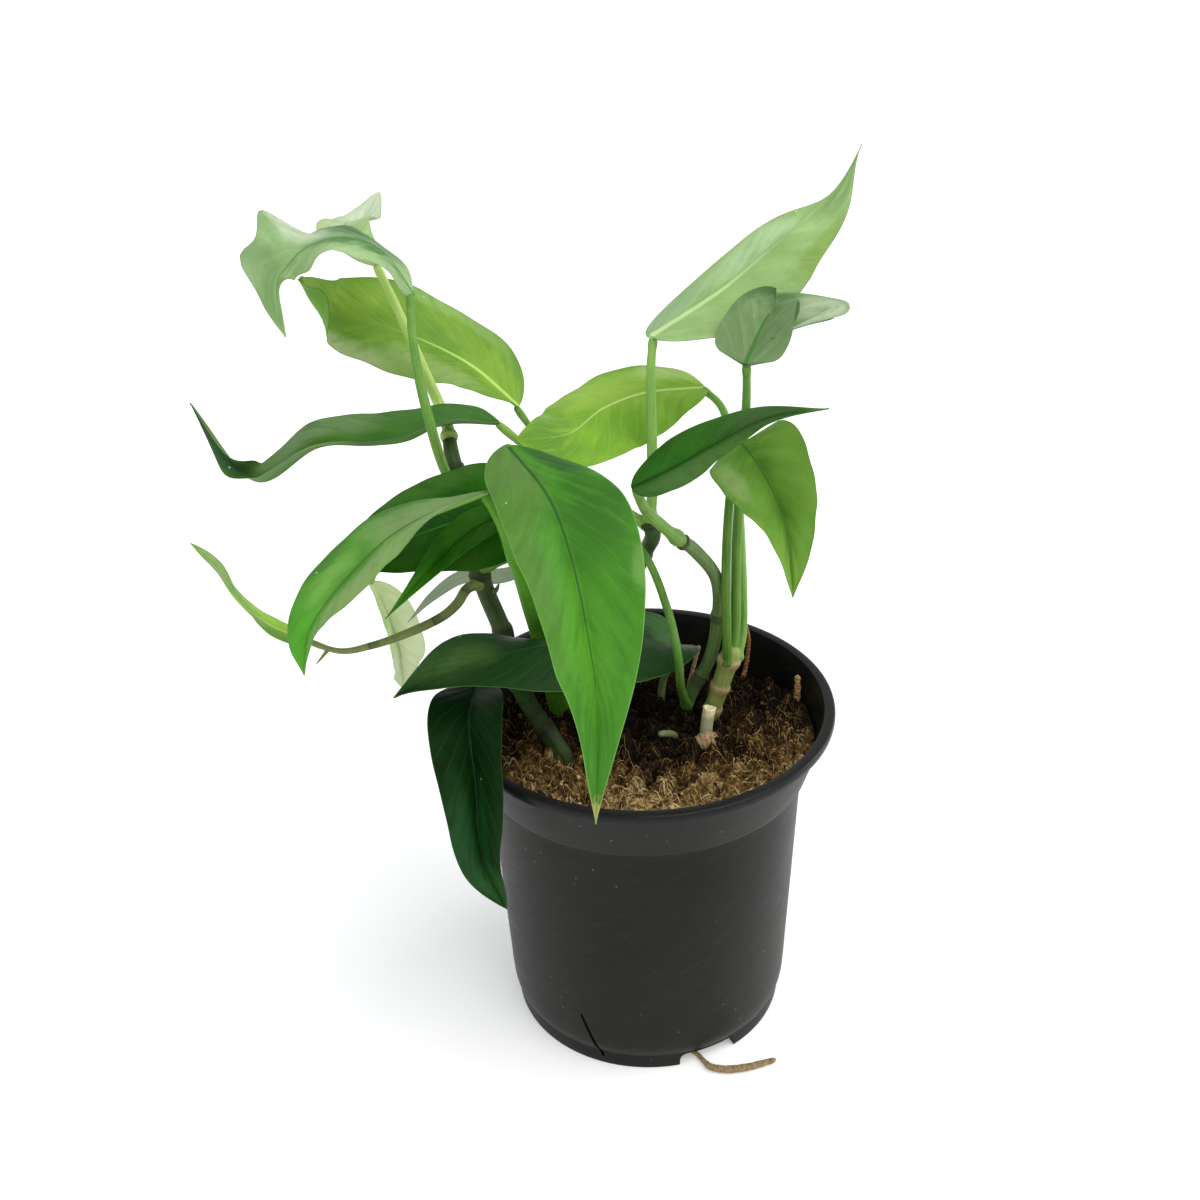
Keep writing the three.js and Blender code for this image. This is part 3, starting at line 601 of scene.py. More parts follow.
def blade_shape(leaf):
    """A thin closed blade with its midrib, side veins, domed panels and waved margins."""
    t = leaf_stations()
    length = route_length(leaf["route"])
    centre = along(leaf["route"], t)
    forward = headings(leaf["route"], t)
    normal = along(leaf["face"], t)
    normal = unit(normal - forward * np.sum(normal * forward, axis=1, keepdims=True))
    right = np.cross(forward, normal)
    half = np.maximum(0.5 * leaf["width"] * outline(leaf, t), 0.75 * (1 - t) ** 3 + 0.12)
    lean = leaf["lean"]
    folds = {1: number_along(leaf["fold"], t), -1: number_along(leaf["fold_left"], t)}
    veins = max(4, round(length / VEIN_SPACING))
    steps = np.linspace(-1, 1, 2 * HALF_COLUMNS + 1)
    columns = np.sin(steps * math.pi / 2 * 0.9) / math.sin(math.pi * 0.45)
    phase = sum(map(ord, leaf["name"])) % 7
    middle, lift, reach = [], [], []
    for s in columns:
        sign = 1 if s >= 0 else -1
        across = abs(s)
        fold = np.radians(folds[sign])
        x = across * half * (1 + sign * lean)
        out = sign * np.cos(fold)[:, None] * right + np.sin(fold)[:, None] * normal
        up = np.cos(fold)[:, None] * normal - sign * np.sin(fold)[:, None] * right
        dome = 0.05 * half * 4 * across * (1 - across) * (0.6 if leaf["back"] else 1)
        ripple = leaf["wave"] * across**2 * np.sin(2 * math.pi * (3.2 * t + 0.37 * phase) + sign)
        ripple = ripple + 0.4 * leaf["wave"] * across**3 * np.sin(2 * math.pi * (7.3 * t + phase) - sign)
        quilt = 0.09 * np.cos(2 * math.pi * vein_place(t, across, veins)) * (1 - across**4)
        quilt = quilt * min(1, across * 5)
        blend = (1 - min(1, across * 6)) ** 2
        lifted = unit(up * (1 - blend) + normal * blend)
        height = dome + ripple * np.minimum(1, half / 6) - quilt * np.minimum(1, half / 8)
        middle.append(centre + x[:, None] * out + height[:, None] * up)
        lift.append(lifted)
        reach.append(sign * x)
    middle, lift, reach = np.array(middle), np.array(lift), np.array(reach)
    rib_side = 1 if leaf["back"] else -1
    swell = (1 - t) ** 0.8
    ridge = (0.75 * swell + 0.08) * np.exp(-(reach / (0.45 + 0.65 * swell)) ** 2)
    groove = (0.22 * swell + 0.06) * np.exp(-(reach / 0.4) ** 2)
    thick = MARGIN_THICKNESS + (BLADE_THICKNESS - MARGIN_THICKNESS) * (1 - np.abs(columns) ** 3)
    above = thick[:, None] / 2 + (ridge if rib_side > 0 else -groove * 0.8)
    below = thick[:, None] / 2 + (ridge if rib_side < 0 else -groove * 0.8)
    top = middle + above[..., None] * lift
    bottom = middle - below[..., None] * lift
    ring = np.concatenate([top, bottom[-2:0:-1]]).transpose(1, 0, 2)
    s_ring = np.concatenate([columns, columns[-2:0:-1]])
    face = np.concatenate([np.ones(len(columns)), -np.ones(len(columns) - 2)])
    reach_ring = np.concatenate([reach, reach[-2:0:-1]]).T
    count, sides = len(t), len(s_ring)
    blade = np.stack(np.broadcast_arrays(s_ring[None, :], t[:, None], face[None, :]), -1)
    span = np.stack(np.broadcast_arrays(reach_ring, (half * (1 + abs(lean)))[:, None], length), -1)
    faces = [face[::-1] for face in ring_faces(count, sides)] + strip_caps(count, sides)
    return ring.reshape(-1, 3), faces, blade.reshape(-1, 3), span.reshape(-1, 3), veins


def leaf_finish(leaf, veins):
    """Colour regions (own tone, and painted sheen, glare and shade), swept side veins, midrib, margin and
    cell texture of one leaf.
    """
    fin = Finish("finish_" + leaf["name"])
    s = fin.painted("blade")
    t, face = s.also("Y"), s.also("Z")
    reach = fin.painted("span")
    half = reach.also("Y")
    across = abs(s)
    gain = leaf["gain"]
    shine = 0.06 if leaf["slot"] == "leaf_dark" else 0.13
    tone, deep = tint(leaf["tone"], gain), tint(leaf["deep"], gain)
    light = tint(leaf["tone"], [1.45 * g for g in gain])
    broad = fin.noise(fin.place(), 60, 3)
    mottle = fin.noise(fin.place(), 420, 3, 0.6)
    cells = fin.noise(fin.place(), 2600, 2)
    colour = fin.mix(fin.smooth(0.35, 0.7, broad) * 0.7, tone, deep)
    warp = (broad - 0.5) * 0.4 + (mottle - 0.5) * 0.12
    # Colour regions: some are the leaf's own tone, others painted sheen, glare and shade.
    for t0, s0, long_size, cross_size, code, share in leaf["patches"]:
        away = ((t + warp * 0.4 - t0) / long_size) ** 2 + ((s + warp - s0) / cross_size) ** 2
        colour = fin.mix(fin.smooth(0, 1, 1 - away) * share, colour, tint(code, gain))
    q = vein_place(t, across, veins) + (broad - 0.5) * 0.7
    panel = fin.node("ShaderNodeCombineXYZ", inputs=[q, s * 1.6, t * 0.4])
    wash = fin.noise(panel, 1.1, 3, 0.55)
    colour = fin.mix(fin.smooth(0.5, 0.68, wash) * 0.28, colour, light)
    colour = fin.mix(fin.smooth(0.48, 0.3, wash) * 0.35, colour, deep)
    streak = fin.noise(fin.node("ShaderNodeCombineXYZ", inputs=[q * 5, s * 2.2, t]), 1.0, 2)
    colour = fin.mix(fin.smooth(0.5, 0.75, streak) * 0.1, colour, light)
    main = fin.smooth(0.8, 1.0, abs(fin.node("ShaderNodeMath", {"operation": "FRACT"}, [q]) - 0.5) * 2)
    fading = 1 - fin.smooth(0.7, 0.95, across)
    net = fin.clamp(main * fading * (0.5 + wash))
    colour = fin.mix(net * leaf["vein_share"], colour, tint(leaf["vein"], gain))
    colour = fin.mix(fin.smooth(0.45, 0.7, mottle) * 0.14, colour, deep)
    under = fin.smooth(0.2, -0.2, face)
    colour = fin.mix(under * 0.8, colour, tint(leaf["under"], gain))
    rib_width = fin.clamp(1 - t / leaf["rib_reach"]) * leaf["rib_width"] + 0.16
    rib = (1 - fin.smooth(0.55, 1.0, abs(reach) / rib_width)) * fin.smooth(1.0, 0.9, t)
    colour = fin.mix(rib * fin.smooth(1.25, 0.4, t / leaf["rib_reach"]) * 0.85, colour,
                     tint(leaf["rib"], gain))
    margin = fin.smooth(0.4, 0.05, half - abs(reach))
    colour = fin.mix(margin * 0.5, colour, tint(leaf["edge"], gain))
    spot = fin.specks(fin.place(), 150)
    rare = fin.smooth(0.86, 0.9, fin.node("ShaderNodeSeparateColor", inputs=[spot.also("Color")]))
    colour = fin.mix(fin.smooth(0.06, 0.03, spot) * rare * 0.5, colour, tint("#dfe8d4"))
    roughness = 0.36 + mottle * 0.16 + under * 0.1
    height = net * 0.35 + cells * 0.18 + mottle * 0.3 + wash * 0.4
    normal = fin.bump(height, 0.4, 0.0004)
    return fin.finish_with(Base_Color=colour, Roughness=roughness, Normal=normal, Specular_IOR_Level=shine)


def make_leaves():
    for leaf in LEAVES:
        vertices, faces, blade, span, veins = blade_shape(leaf)
        new_piece(leaf["name"] + "_blade", vertices, faces, leaf_finish(leaf, veins),
                  [leaf["name"]], attributes={"blade": blade, "span": span})


# Stems, from inside the soil to their upper end. Each node is its place in mm and its swelling.
STEMS = [
    {
        "name": "stem_left", "slot": "stem_green", "radius": [2.9, 2.9, 2.7, 2.1],
        "route": [(-19, -12, 86), (-26, -9, 100), (-37, 0, 115), (-43, 7, 134), (-48, 9, 149),
                  (-52, 11, 165), (-54, 14, 181), (-56, 18, 190), (-57, 22, 194)],
        "nodes": [(22, 0.5), (47, 0.5), (66, 0.7), (84, 0.5), (101, 0.5)],
        "tone": "#24361f", "light": "#4c6838", "node": "#1d2a18",
    },
    {
        "name": "stem_middle", "slot": "stem_green", "radius": [2.3, 2.3, 2.6],
        "route": [(-4, 35, 84), (-5, 36, 100), (-5, 35, 121), (-2, 29, 141), (2, 18, 157), (4, 12, 165),
                  (3, 10, 171)],
        "nodes": [(30, 0.4), (60, 0.4), (92, 0.5)],
        "tone": "#304a30", "light": "#587650", "node": "#1a2218",
    },
    {
        "name": "stem_right", "slot": "stem_green", "radius": [2.1, 2.0, 2.0, 2.0],
        "route": [(13, 20, 84), (15, 17, 102), (22, 15, 120), (24, 13, 136), (24, 10, 147), (22, 7, 155),
                  (16, 2, 165), (12, -2, 170)],
        "nodes": [(20, 0.5), (40, 0.4), (92, 0.5)],
        "tone": "#4f7048", "light": "#8aa678", "node": "#44523a",
    },
    {
        "name": "stem_back_right", "slot": "stem_pale", "radius": [2.6, 2.7, 3.2],
        "route": [(21, 11, 84), (22, 10, 100), (25, 9, 113), (29, 9.5, 127)],
        "nodes": [(18, 0.5), (28, 0.6), (38, 0.8)],
        "tone": "#76884a", "light": "#b3bf86", "node": "#a08a62", "ring": "#b89f78",
    },
]

# Leaf stalks: the leaf that each carries, where it starts, its radii, the points on its way, its tone
# and its light streaks. It starts at a point, or on a stem at a share of the stem's route.
STALKS = [
    ("arched_left", ("stem_left", 0.72), [1.5, 1.5, 1.3], [(-57, 6, 191), (-59, 1, 206), (-62, 6, 220),
     (-64, 14, 231)], "#4a8236", "#86b45c"),
    ("pale_back_left", ("stem_left", 1), [2.1, 1.7, 1.4], [(-58, 28, 195), (-61, 35, 200),
     (-65, 35, 212), (-69, 37, 223), (-73, 38, 234)], "#8fbc62", "#cfe9a4"),
    ("broad_back_left", ("stem_right", 0.12), [1.5, 1.3, 1.3], [(12, 5, 115), (11, -2, 130), (8, 1, 145),
     (1, 8, 161), (-14, 26, 170), (-27, 42, 178)], "#4a7f36", "#84b060"),
    ("long_wavy_left", ("stem_middle", 0.92), [1.6, 1.4, 1.4], [(-6, 15, 173), (-15, 20, 176),
     (-29, 26, 184)], "#6f9f45", "#a3c878"),
    ("tall_right", ("stem_middle", 1), [1.7, 1.6, 1.4], [(4, 9, 182), (4, 5, 203), (4, 4, 221)],
     "#6a9f4a", "#a0cf80"),
    ("dark_right", ("stem_right", 1), [1.8, 1.7, 1.5], [(6, -9, 179), (1.5, -15, 187)], "#5f8f45",
     "#93bd74"),
    ("curled_right", (28.5, 9.5, 124), [1.6, 1.6, 1.4], [(29.5, 11, 133), (29.5, 12, 161),
     (30.5, 10, 189), (31, 4, 210)], "#4f8035", "#7fae58"),
    ("bright_centre", (30, 11.5, 120), [1.5, 1.5, 1.3], [(32, 14.5, 131), (31, 16.5, 161), (29, 21, 186),
     (26, 30, 198)], "#5f9a45", "#98c878"),
    ("hanging_right", (27, 7.5, 121), [1.5, 1.5, 1.3], [(26.5, 6.5, 131), (26, 6, 161), (27.5, 7, 186)],
     "#3c6a24", "#7aa850"),
    ("front_drooping", (-11, 24, 88), [1.9, 1.7, 1.5], [(-12, 26, 110), (-16, 26, 135), (-22, 18, 165),
     (-30, 2, 188), (-35, -10, 200)], "#4f8a38", "#86b464"),
    ("front_left", (-26, 22, 86), [2.2, 2, 1.5], [(-28, 17, 104), (-31, 12, 127), (-33, 1, 146),
     (-34, -18, 168), (-35, -30, 180), (-37, -35, 192)], "#3c8420", "#6fae40"),
    ("dark_left", ("stem_left", 0.64), [1.5, 1.4, 1.4], [(-45, 8, 173), (-37, 2, 181)], "#3f7028",
     "#6f9a4a"),
    ("small_dark_left", ("stem_left", 0.55), [1.2, 1.1, 0.9], [(-36, 0, 166), (-29, -12, 179),
     (-30, -17, 187)], "#3f7028", "#6f9a4a"),
    ("low_dark", (5, 29, 86), [1.4, 1.3, 1.2], [(7, 30, 102), (11, 29, 111)], "#5c7a4a", "#86a070"),
    ("hanging_left", ("stem_left", 0.24), [1.4, 1.3, 1.2], [(-41, -5, 123), (-47, -8, 129)], "#2f5a2c",
     "#4f7a44"),
    ("pale_low_left", ("stem_left", 0.6), [1.2, 1.1, 1], [(-66, 18, 163), (-80, 21, 157)], "#a5c488",
     "#c8deb0"),
    ("narrow_behind", (-17, 31, 88), [1.1, 1, 0.8], [(-19, 33, 110), (-21, 33, 132), (-26, 27, 147)],
     "#8aa070", "#a8b892"),
    ("young_narrow", ("stem_left", 0.52), [1.7, 1.4, 0.9], [(-53, 4, 152), (-56, 0, 149), (-61, -3, 146),
     (-71, -5, 142), (-82, -5, 138), (-93, -3, 135)], "#5f7448", "#8a9a6c"),
]


def node_relief(nodes):
    """Rings where leaves grew: a swelling with a sharp collar above it, and faint long ridges."""

    def relief(distance, angle, length):
        grown = 0.05 * np.sin(5 * angle + distance * 0.05) + 0.03 * np.sin(11 * angle - distance * 0.08)
        for place, swell in nodes:
            gap = distance - place
            grown = grown + swell * np.exp(-(gap / 1.7) ** 2)
            grown = grown + 0.3 * swell * np.exp(-((gap - 1.2) / 0.28) ** 2)
            grown = grown - 0.22 * swell * np.exp(-((gap - 2.0) / 0.35) ** 2)
        return grown

    return relief


def stem_finish(name, tone, light, node_colour, nodes, ring_colour=RING_COLOUR):
    """Waxy stem skin with long streaks, darker nodes with corky rings, and small pale dots."""
    fin = Finish("finish_" + name)
    place = fin.painted("place")
    angle = place.also("Y")
    wave = fin.node("ShaderNodeMath", {"operation": "SINE"}, [angle * (2 * math.pi * 9) + place * 0.06])
    broad = fin.noise(fin.stretched((1, 1, 0.25)), 260, 3)
    fine = fin.noise(fin.stretched((1, 1, 0.12)), 1600, 3)
    dots = fin.specks(fin.place(), 900)
    streak = fin.clamp(0.42 + wave * 0.1 + (fine - 0.5) * 0.9 + (broad - 0.5) * 1.3)
    colour = fin.mix(streak, tint(tone, STALK_GAIN), tint(light, STREAK_GAIN))
    colour = fin.mix(fin.smooth(0.16, 0.06, dots) * 0.25, colour, tint(light, STALK_GAIN))
    for where, swell in nodes:
        near = fin.smooth(2.6, 0.4, abs(place - where))
        ring = fin.smooth(0.5, 0.1, abs(place - (where + 1.2)))
        colour = fin.mix(near * 0.75, colour, tint(node_colour))
        colour = fin.mix(ring * 0.7, colour, tint(ring_colour))
    height = fine * 0.5 + wave * 0.15
    return fin.finish_with(Base_Color=colour, Roughness=0.42 + fine * 0.2,
                           Normal=fin.bump(height, 0.4, 0.0003), Specular_IOR_Level=0.2)


def make_stems():
    for stem in STEMS:
        shape = tube_shape(stem["route"], stem["radius"], 28, 0.7, node_relief(stem["nodes"]))
        finish = stem_finish(stem["name"], stem["tone"], stem["light"], stem["node"], stem["nodes"],
                             stem.get("ring", RING_COLOUR))
        new_skin(stem["name"], shape, finish)


def winged(extra):
    """The broad green wings along both sides of a leaf stalk's lower two thirds."""

    def relief(distance, angle, length):
        fade = np.clip(1.35 - distance / length * 1.5, 0, 1) * np.clip(distance / 12, 0, 1)
        return stalk_relief(distance, angle, length) + extra * fade * np.cos(angle) ** 4

    return relief


def stalk_relief(distance, angle, length):
    """A clasping foot, a shallow channel along one side, and the swollen joint below the blade."""
    foot = 0.75 * np.exp(-((distance - 2.5) / 2.6) ** 2)
    joint = 0.25 * np.exp(-((length - 3.5 - distance) / 2.2) ** 2)
    channel = -0.12 * np.exp(-((angle - math.pi) / 0.45) ** 2)
    return foot + joint + channel


def stalk_route(leaf_name, start, via):
    leaf = next(leaf for leaf in LEAVES if leaf["name"] == "leaf_" + leaf_name)
    end = along(leaf["route"], [0.0])[0] + headings(leaf["route"], np.array([0.0]))[0] * 1.2
    if isinstance(start[0], str):
        stem = next(stem for stem in STEMS if stem["name"] == start[0])
        start = tuple(along(stem["route"], [start[1]])[0])
    return [start, *via, tuple(end)]


def make_stalks():
    """One stalk a leaf. The youngest leaf ends the side shoot, and one stalk has broad wings."""
    for leaf_name, start, radius, via, tone, light in STALKS:
        shoot = leaf_name == "young_narrow"
        name = "shoot_side_left" if shoot else "stalk_" + leaf_name
        radius = radius[:-1] + [radius[-1] * STALK_TIP_SHARE]
        relief = winged(WING_HEIGHT) if leaf_name == "front_left" else stalk_relief
        shape = tube_shape(stalk_route(leaf_name, start, via), radius, 18, 0.9, relief, start=(1, 0, 0))
        finish = stem_finish(name, tone, light, STALK_NODE_COLOUR, SHOOT_NODES if shoot else [])
        new_skin(name, shape, finish)


# Dry scale leaves at nodes: name, route, radii, tone
BRACTS = [
    ("bract_stem_left", [(-47, 8.5, 147.5), (-44.6, 7.5, 149.5), (-43.4, 7, 152)], [1.3, 0.8, 0.25],
     "#2c3f24"),
    ("bract_side_shoot", [(-96.5, -1.2, 134.9), (-98.5, -3, 133), (-100.5, -4.3, 131)],
     [0.7, 0.45, 0.12], "#6f8450"),
    ("bract_stem_middle", [(-5, 35, 121), (-7, 33.5, 124), (-7.6, 33, 127)], [1.1, 0.7, 0.2],
     "#54603c"),
]


def make_bracts():
    for name, route, radius, tone in BRACTS:
        vertices, faces, place = tube_shape(route, radius, 14, 0.3)
        finish = stem_finish(name, tone, "#8a9464", tone, [])
        new_piece(name, vertices, faces, finish, attributes={"place": place})


# Pot


def corners_from(radius, height, steps):
    """Corners of a profile, each a step out and a step up from one place."""
    return [(radius + out, height + up) for out, up in steps]


def pot_profile():
    """Outer wall from the axis up to the lip, then the inner wall down to the floor."""
    lip_bottom = POT_HEIGHT - LIP_HEIGHT
    outer = [(0, 0), (20, 0)]
    outer += corners_from(FOOT_RADIUS, 0, [(-3, 0), (-0.6, 0), (-0.15, 0.2), (0, 0.7), (0, 2.5), (0, 4)])
    outer += corners_from(FOOT_RADIUS, FOOT_HEIGHT, [(0, -0.2), (0.15, 0), (0.9, 1.6), (1.3, 3), (1.6, 5)])
    outer += [(FOOT_RADIUS + 1.9, 15), (FOOT_RADIUS + 2.1, 20)]
    wall_top = (STEP_RADIUS - 0.4, STEP_HEIGHT - 1)
    for i in range(1, 24):
        share = i / 24
        outer.append((FOOT_RADIUS + 2.1 + share * (wall_top[0] - FOOT_RADIUS - 2.1),
                      20 + share * (wall_top[1] - 20)))
    outer.append(wall_top)
    outer += corners_from(STEP_RADIUS, STEP_HEIGHT,
                          [(-0.3, -0.6), (0, -0.25), (0.6, -0.05), (1.2, 0), (1.7, 0.5), (2, 1.5)])
    for i in range(1, 6):
        share = i / 6
        outer.append((STEP_RADIUS + 2 + share * (RIM_RADIUS - 4.2 - STEP_RADIUS),
                      STEP_HEIGHT + 1.5 + share * (lip_bottom - STEP_HEIGHT - 1.5)))
    outer += corners_from(RIM_RADIUS, lip_bottom,
                          [(-2.2, -0.2), (-1.9, 0), (-0.5, 0.15), (-0.1, 0.45), (0, 0.9)])
    outer += corners_from(RIM_RADIUS, POT_HEIGHT, [(0, -1.1), (-0.15, -0.5), (-0.5, -0.15), (-1.0, 0)])
    inner = corners_from(RIM_RADIUS - LIP_WIDTH, POT_HEIGHT,
                         [(0.5, 0), (0.1, -0.2), (0, -0.7), (-0.2, -1.6)])
    inner += corners_from(STEP_RADIUS, STEP_HEIGHT, [(3.6, 10.5), (1.2, 1.2), (-WALL, -0.8)])
    inner += [(FOOT_RADIUS + 2.1 - WALL, 20), (FOOT_RADIUS + 1 - WALL, FOOT_HEIGHT + 3)]
    inner += corners_from(FOOT_RADIUS, FLOOR_THICKNESS, [(-2.5, 0.6), (-4, 0), (-15, 0)])
    return outer + inner + [(0, FLOOR_THICKNESS)]


def closed_turn(rings, bottom, top):
    """Closes rings of corners, from the lowest point on the axis to the last one, at both ends."""
    sectors = len(rings[0])
    vertices = np.vstack([[bottom], *rings, [top]])
    last = 1 + (len(rings) - 1) * sectors
    faces = []
    for j in range(sectors):
        k = (j + 1) % sectors
        faces.append((0, 1 + k, 1 + j))
        faces.append((len(vertices) - 1, last + j, last + k))
        for i in range(len(rings) - 1):
            a, b = 1 + i * sectors, 1 + (i + 1) * sectors
            faces.append((a + j, a + k, b + k, b + j))
    return vertices, faces


def lathe_shape(profile, segments):
    """Turns a profile that starts and ends on the axis."""
    angle = circle(segments)
    rings = [[(r * math.cos(a), r * math.sin(a), z) for a in angle] for r, z in profile[1:-1]]
    return closed_turn(rings, (0, 0, profile[0][1]), (0, 0, profile[-1][1]))


def prism(outline_points, depth):
    """A prism of a flat outline in its own x and z, pushed along y."""
    count = len(outline_points)
    near = [(x, 0, z) for x, z in outline_points]
    far = [(x, depth, z) for x, z in outline_points]
    faces = [tuple(range(count)), tuple(reversed(range(count, 2 * count)))]
    faces += [(j, j + count, (j + 1) % count + count, (j + 1) % count) for j in range(count)]
    return np.array(near + far, float), faces


def turned(vertices, degrees):
    a = math.radians(degrees)
    turn = np.array([[math.cos(a), -math.sin(a), 0], [math.sin(a), math.cos(a), 0], [0, 0, 1]])
    return vertices @ turn.T


def pot_cutters():
    arch = [(-DRAIN_WIDTH / 2, -1), (DRAIN_WIDTH / 2, -1)]
    for i in range(7):
        a = math.pi / 2 * i / 6
        arch.append((DRAIN_WIDTH / 2 - DRAIN_CORNER * (1 - math.cos(a)),
                     DRAIN_HEIGHT - DRAIN_CORNER * (1 - math.sin(a))))
    arch += [(-x, z) for x, z in reversed(arch[2:])]
    cutters = []
    for i in range(DRAIN_COUNT):
        vertices, faces = prism(arch, DRAIN_DEPTH)
        vertices = vertices + np.array([0, FOOT_RADIUS - DRAIN_SETBACK, 0])
        vertices = turned(vertices, DRAIN_FIRST_ANGLE - 90 + 360 * i / DRAIN_COUNT)
        cutters.append(put("cut_drain_%d" % i, mesh_of("cut_drain", vertices, faces)))
    half_length = (SLIT_TOP - SLIT_BOTTOM) / 2
    half_slit = SLIT_WIDTH / 2
    slit = [(-half_slit, -half_length), (half_slit, -half_length), (half_slit, half_length),
            (-half_slit, half_length)]
    lean = math.radians(SLIT_LEAN)
    slit = [(x * math.cos(lean) + z * math.sin(lean), z * math.cos(lean) - x * math.sin(lean))
            for x, z in slit]
    vertices, faces = prism(slit, SLIT_DEPTH)
    vertices = vertices + np.array([0, FOOT_RADIUS - SLIT_SETBACK, half_length + SLIT_BOTTOM])
    vertices = turned(vertices, SLIT_ANGLE - 90)
    cutters.append(put("cut_slit", mesh_of("cut_slit", vertices, faces)))
    return cutters


def pot_finish():
    """Charcoal plastic: satin, with faint slanting draw lines, scuffs, dust and a shinier lip painted a
    little lighter as a painted sheen.
    """
    fin = Finish("finish_pot")
    where = fin.place()
    height = fin.parts(where).also("Z") * 1000
    cloud = fin.noise(where, 22, 4, 0.6)
    grain = fin.noise(where, 900, 3, 0.6)
    slant = fin.node("ShaderNodeMapping", inputs={"Vector": where, "Rotation": (0.0, 0.45, 0.0)})
    drawn = fin.node("ShaderNodeVectorMath", {"operation": "MULTIPLY"}, [slant, (0.15, 0.15, 1.0)])
    lines = fin.noise(drawn, 420, 5, 0.7)
    dust = fin.specks(where, 260)
    colour = fin.mix(fin.smooth(0.3, 0.75, cloud), tint("#0b0c08"), tint("#161710"))
    colour = fin.mix(fin.smooth(0.5, 0.75, lines) * 0.4, colour, tint("#2a2b25"))
    colour = fin.mix(fin.smooth(0.58, 0.7, grain) * 0.3, colour, tint("#121311"))
    speck = fin.smooth(0.10, 0.04, dust) * fin.smooth(0.5, 0.62, cloud)
    colour = fin.mix(speck * 0.5, colour, tint("#8f8e84"))
    # The lip is painted lighter and bluer, a painted sheen, and is also made less rough.
    lip = fin.smooth(POT_HEIGHT - LIP_HEIGHT - 0.6, POT_HEIGHT - LIP_HEIGHT + 0.2, height)
    colour = fin.mix(lip * 0.3, colour, tint("#26282b"))
    roughness = 0.36 + cloud * 0.14 - lip * 0.12 + speck * 0.3 + (lines - 0.5) * 0.2
    relief = grain * 0.5 + lines * 0.5
    return fin.finish_with(Base_Color=colour, Roughness=roughness, Normal=fin.bump(relief, 0.25, 0.0003),
                           Specular_IOR_Level=0.16)


def make_pot():
    """The turned shell, less the drain openings and the slit."""
    vertices, faces = lathe_shape(pot_profile(), POT_SEGMENTS)
    pot = new_piece("pot_shell", vertices, faces, pot_finish(), ["pot"])
    cutters = pot_cutters()
    for cutter in cutters:
        cut = pot.modifiers.new(cutter.name, "BOOLEAN")
        cut.operation = "DIFFERENCE"
        cut.solver = "EXACT"
        cut.object = cutter
    depsgraph = bpy.context.evaluated_depsgraph_get()
    cut_mesh = bpy.data.meshes.new_from_object(pot.evaluated_get(depsgraph))
    pot.modifiers.clear()
    pot.data = cut_mesh
    for cutter in cutters:
        bpy.data.objects.remove(cutter)
    sharpen(pot.data, SHARP_DEGREES)


def sharpen(mesh, degrees):
    """Smooth shading with sharp edges where faces meet at more than this angle."""
    work = bmesh.new()
    work.from_mesh(mesh)
    limit = math.radians(degrees)
    for edge in work.edges:
        edge.smooth = edge.calc_face_angle(math.pi) < limit
    for face in work.faces:
        face.smooth = True
    work.to_mesh(mesh)
    work.free()


# Soil


def inner_radius(z):
    stations = [(FOOT_RADIUS + 1 - WALL, FOOT_HEIGHT + 3), (FOOT_RADIUS + 2.1 - WALL, 20),
                (STEP_RADIUS - WALL, STEP_HEIGHT - 0.8), (STEP_RADIUS + 1.2, STEP_HEIGHT + 1.2),
                (RIM_RADIUS - LIP_WIDTH - 0.2, POT_HEIGHT - 1.4)]
    return float(np.interp(z, [s[1] for s in stations], [s[0] for s in stations]))


def soil_height(x, y):
    slope = 0.002 * x * np.maximum(x, 0) - 0.075 * y
    lumps = 0.9 * np.sin(0.21 * x + 1.3) * np.cos(0.17 * y) + 0.5 * np.sin(0.47 * x - 0.39 * y)
    return SOIL_LEVEL + slope + lumps


WAVES = [(chance.uniform(0, 2 * math.pi), chance.uniform(0, 2 * math.pi), chance.uniform(0.75, 1.3))
         for _ in range(36)]


def crumbs(x, y):
    """Uneven ground of many short waves, from 12 mm down to 1.5 mm long."""
    total = 0
    for i, (turn, phase, size) in enumerate(WAVES):
        wave_length = 12 * 0.944 ** i * size
        total = total + 0.105 * wave_length**0.8 * np.sin(
            2 * math.pi * (x * math.cos(turn) + y * math.sin(turn)) / wave_length + phase)
    return total


def lighter_front_shaded_middle(fin, strength):
    """Lighter and tan towards the front, darker towards the back, and a painted shade in the middle where
    the stems shade the soil.
    """
    x = fin.parts(fin.place())
    y = x.also("Y")
    # Painted shade in the middle of the soil, under the stems.
    middle = fin.smooth(0.0011, 0.0002, (x - 0.004) ** 2 + (y - 0.004) ** 2)
    return y * -strength - middle * 0.28


def soil_finish():
    """Damp fibrous mix: dark peat with tan crumbs and pale fibre ends, lighter towards the front and with
    painted shade in the middle.
    """
    fin = Finish("finish_soil")
    where = fin.place()
    spread = fin.noise(where, 42, 3, 0.55)
    lumps = fin.noise(where, 260, 6, 0.7)
    fibre = fin.noise(fin.stretched((1, 2.6, 1)), 900, 4, 0.7)
    chips = fin.specks(where, 420)
    front = lighter_front_shaded_middle(fin, 13)
    shade = fin.clamp((lumps - 0.5) * 2.3 + 0.3 + (fibre - 0.5) * 1.0 + (spread - 0.5) * 1.3 + front)
    colour = fin.ramp(shade, [(0, "#0d0905"), (0.3, "#281b0e"), (0.55, "#5c4425"), (0.8, "#9b7b4a"),
                              (1, "#cbb180")])
    colour = fin.mix(fin.smooth(0.2, 0.05, chips) * 0.4, colour, tint("#80663c"))
    relief = lumps * 0.7 + fibre * 0.5
    return fin.finish_with(Base_Color=colour, Roughness=0.9, Normal=fin.bump(relief, 1.0, 0.0014),
                           Specular_IOR_Level=0.15)


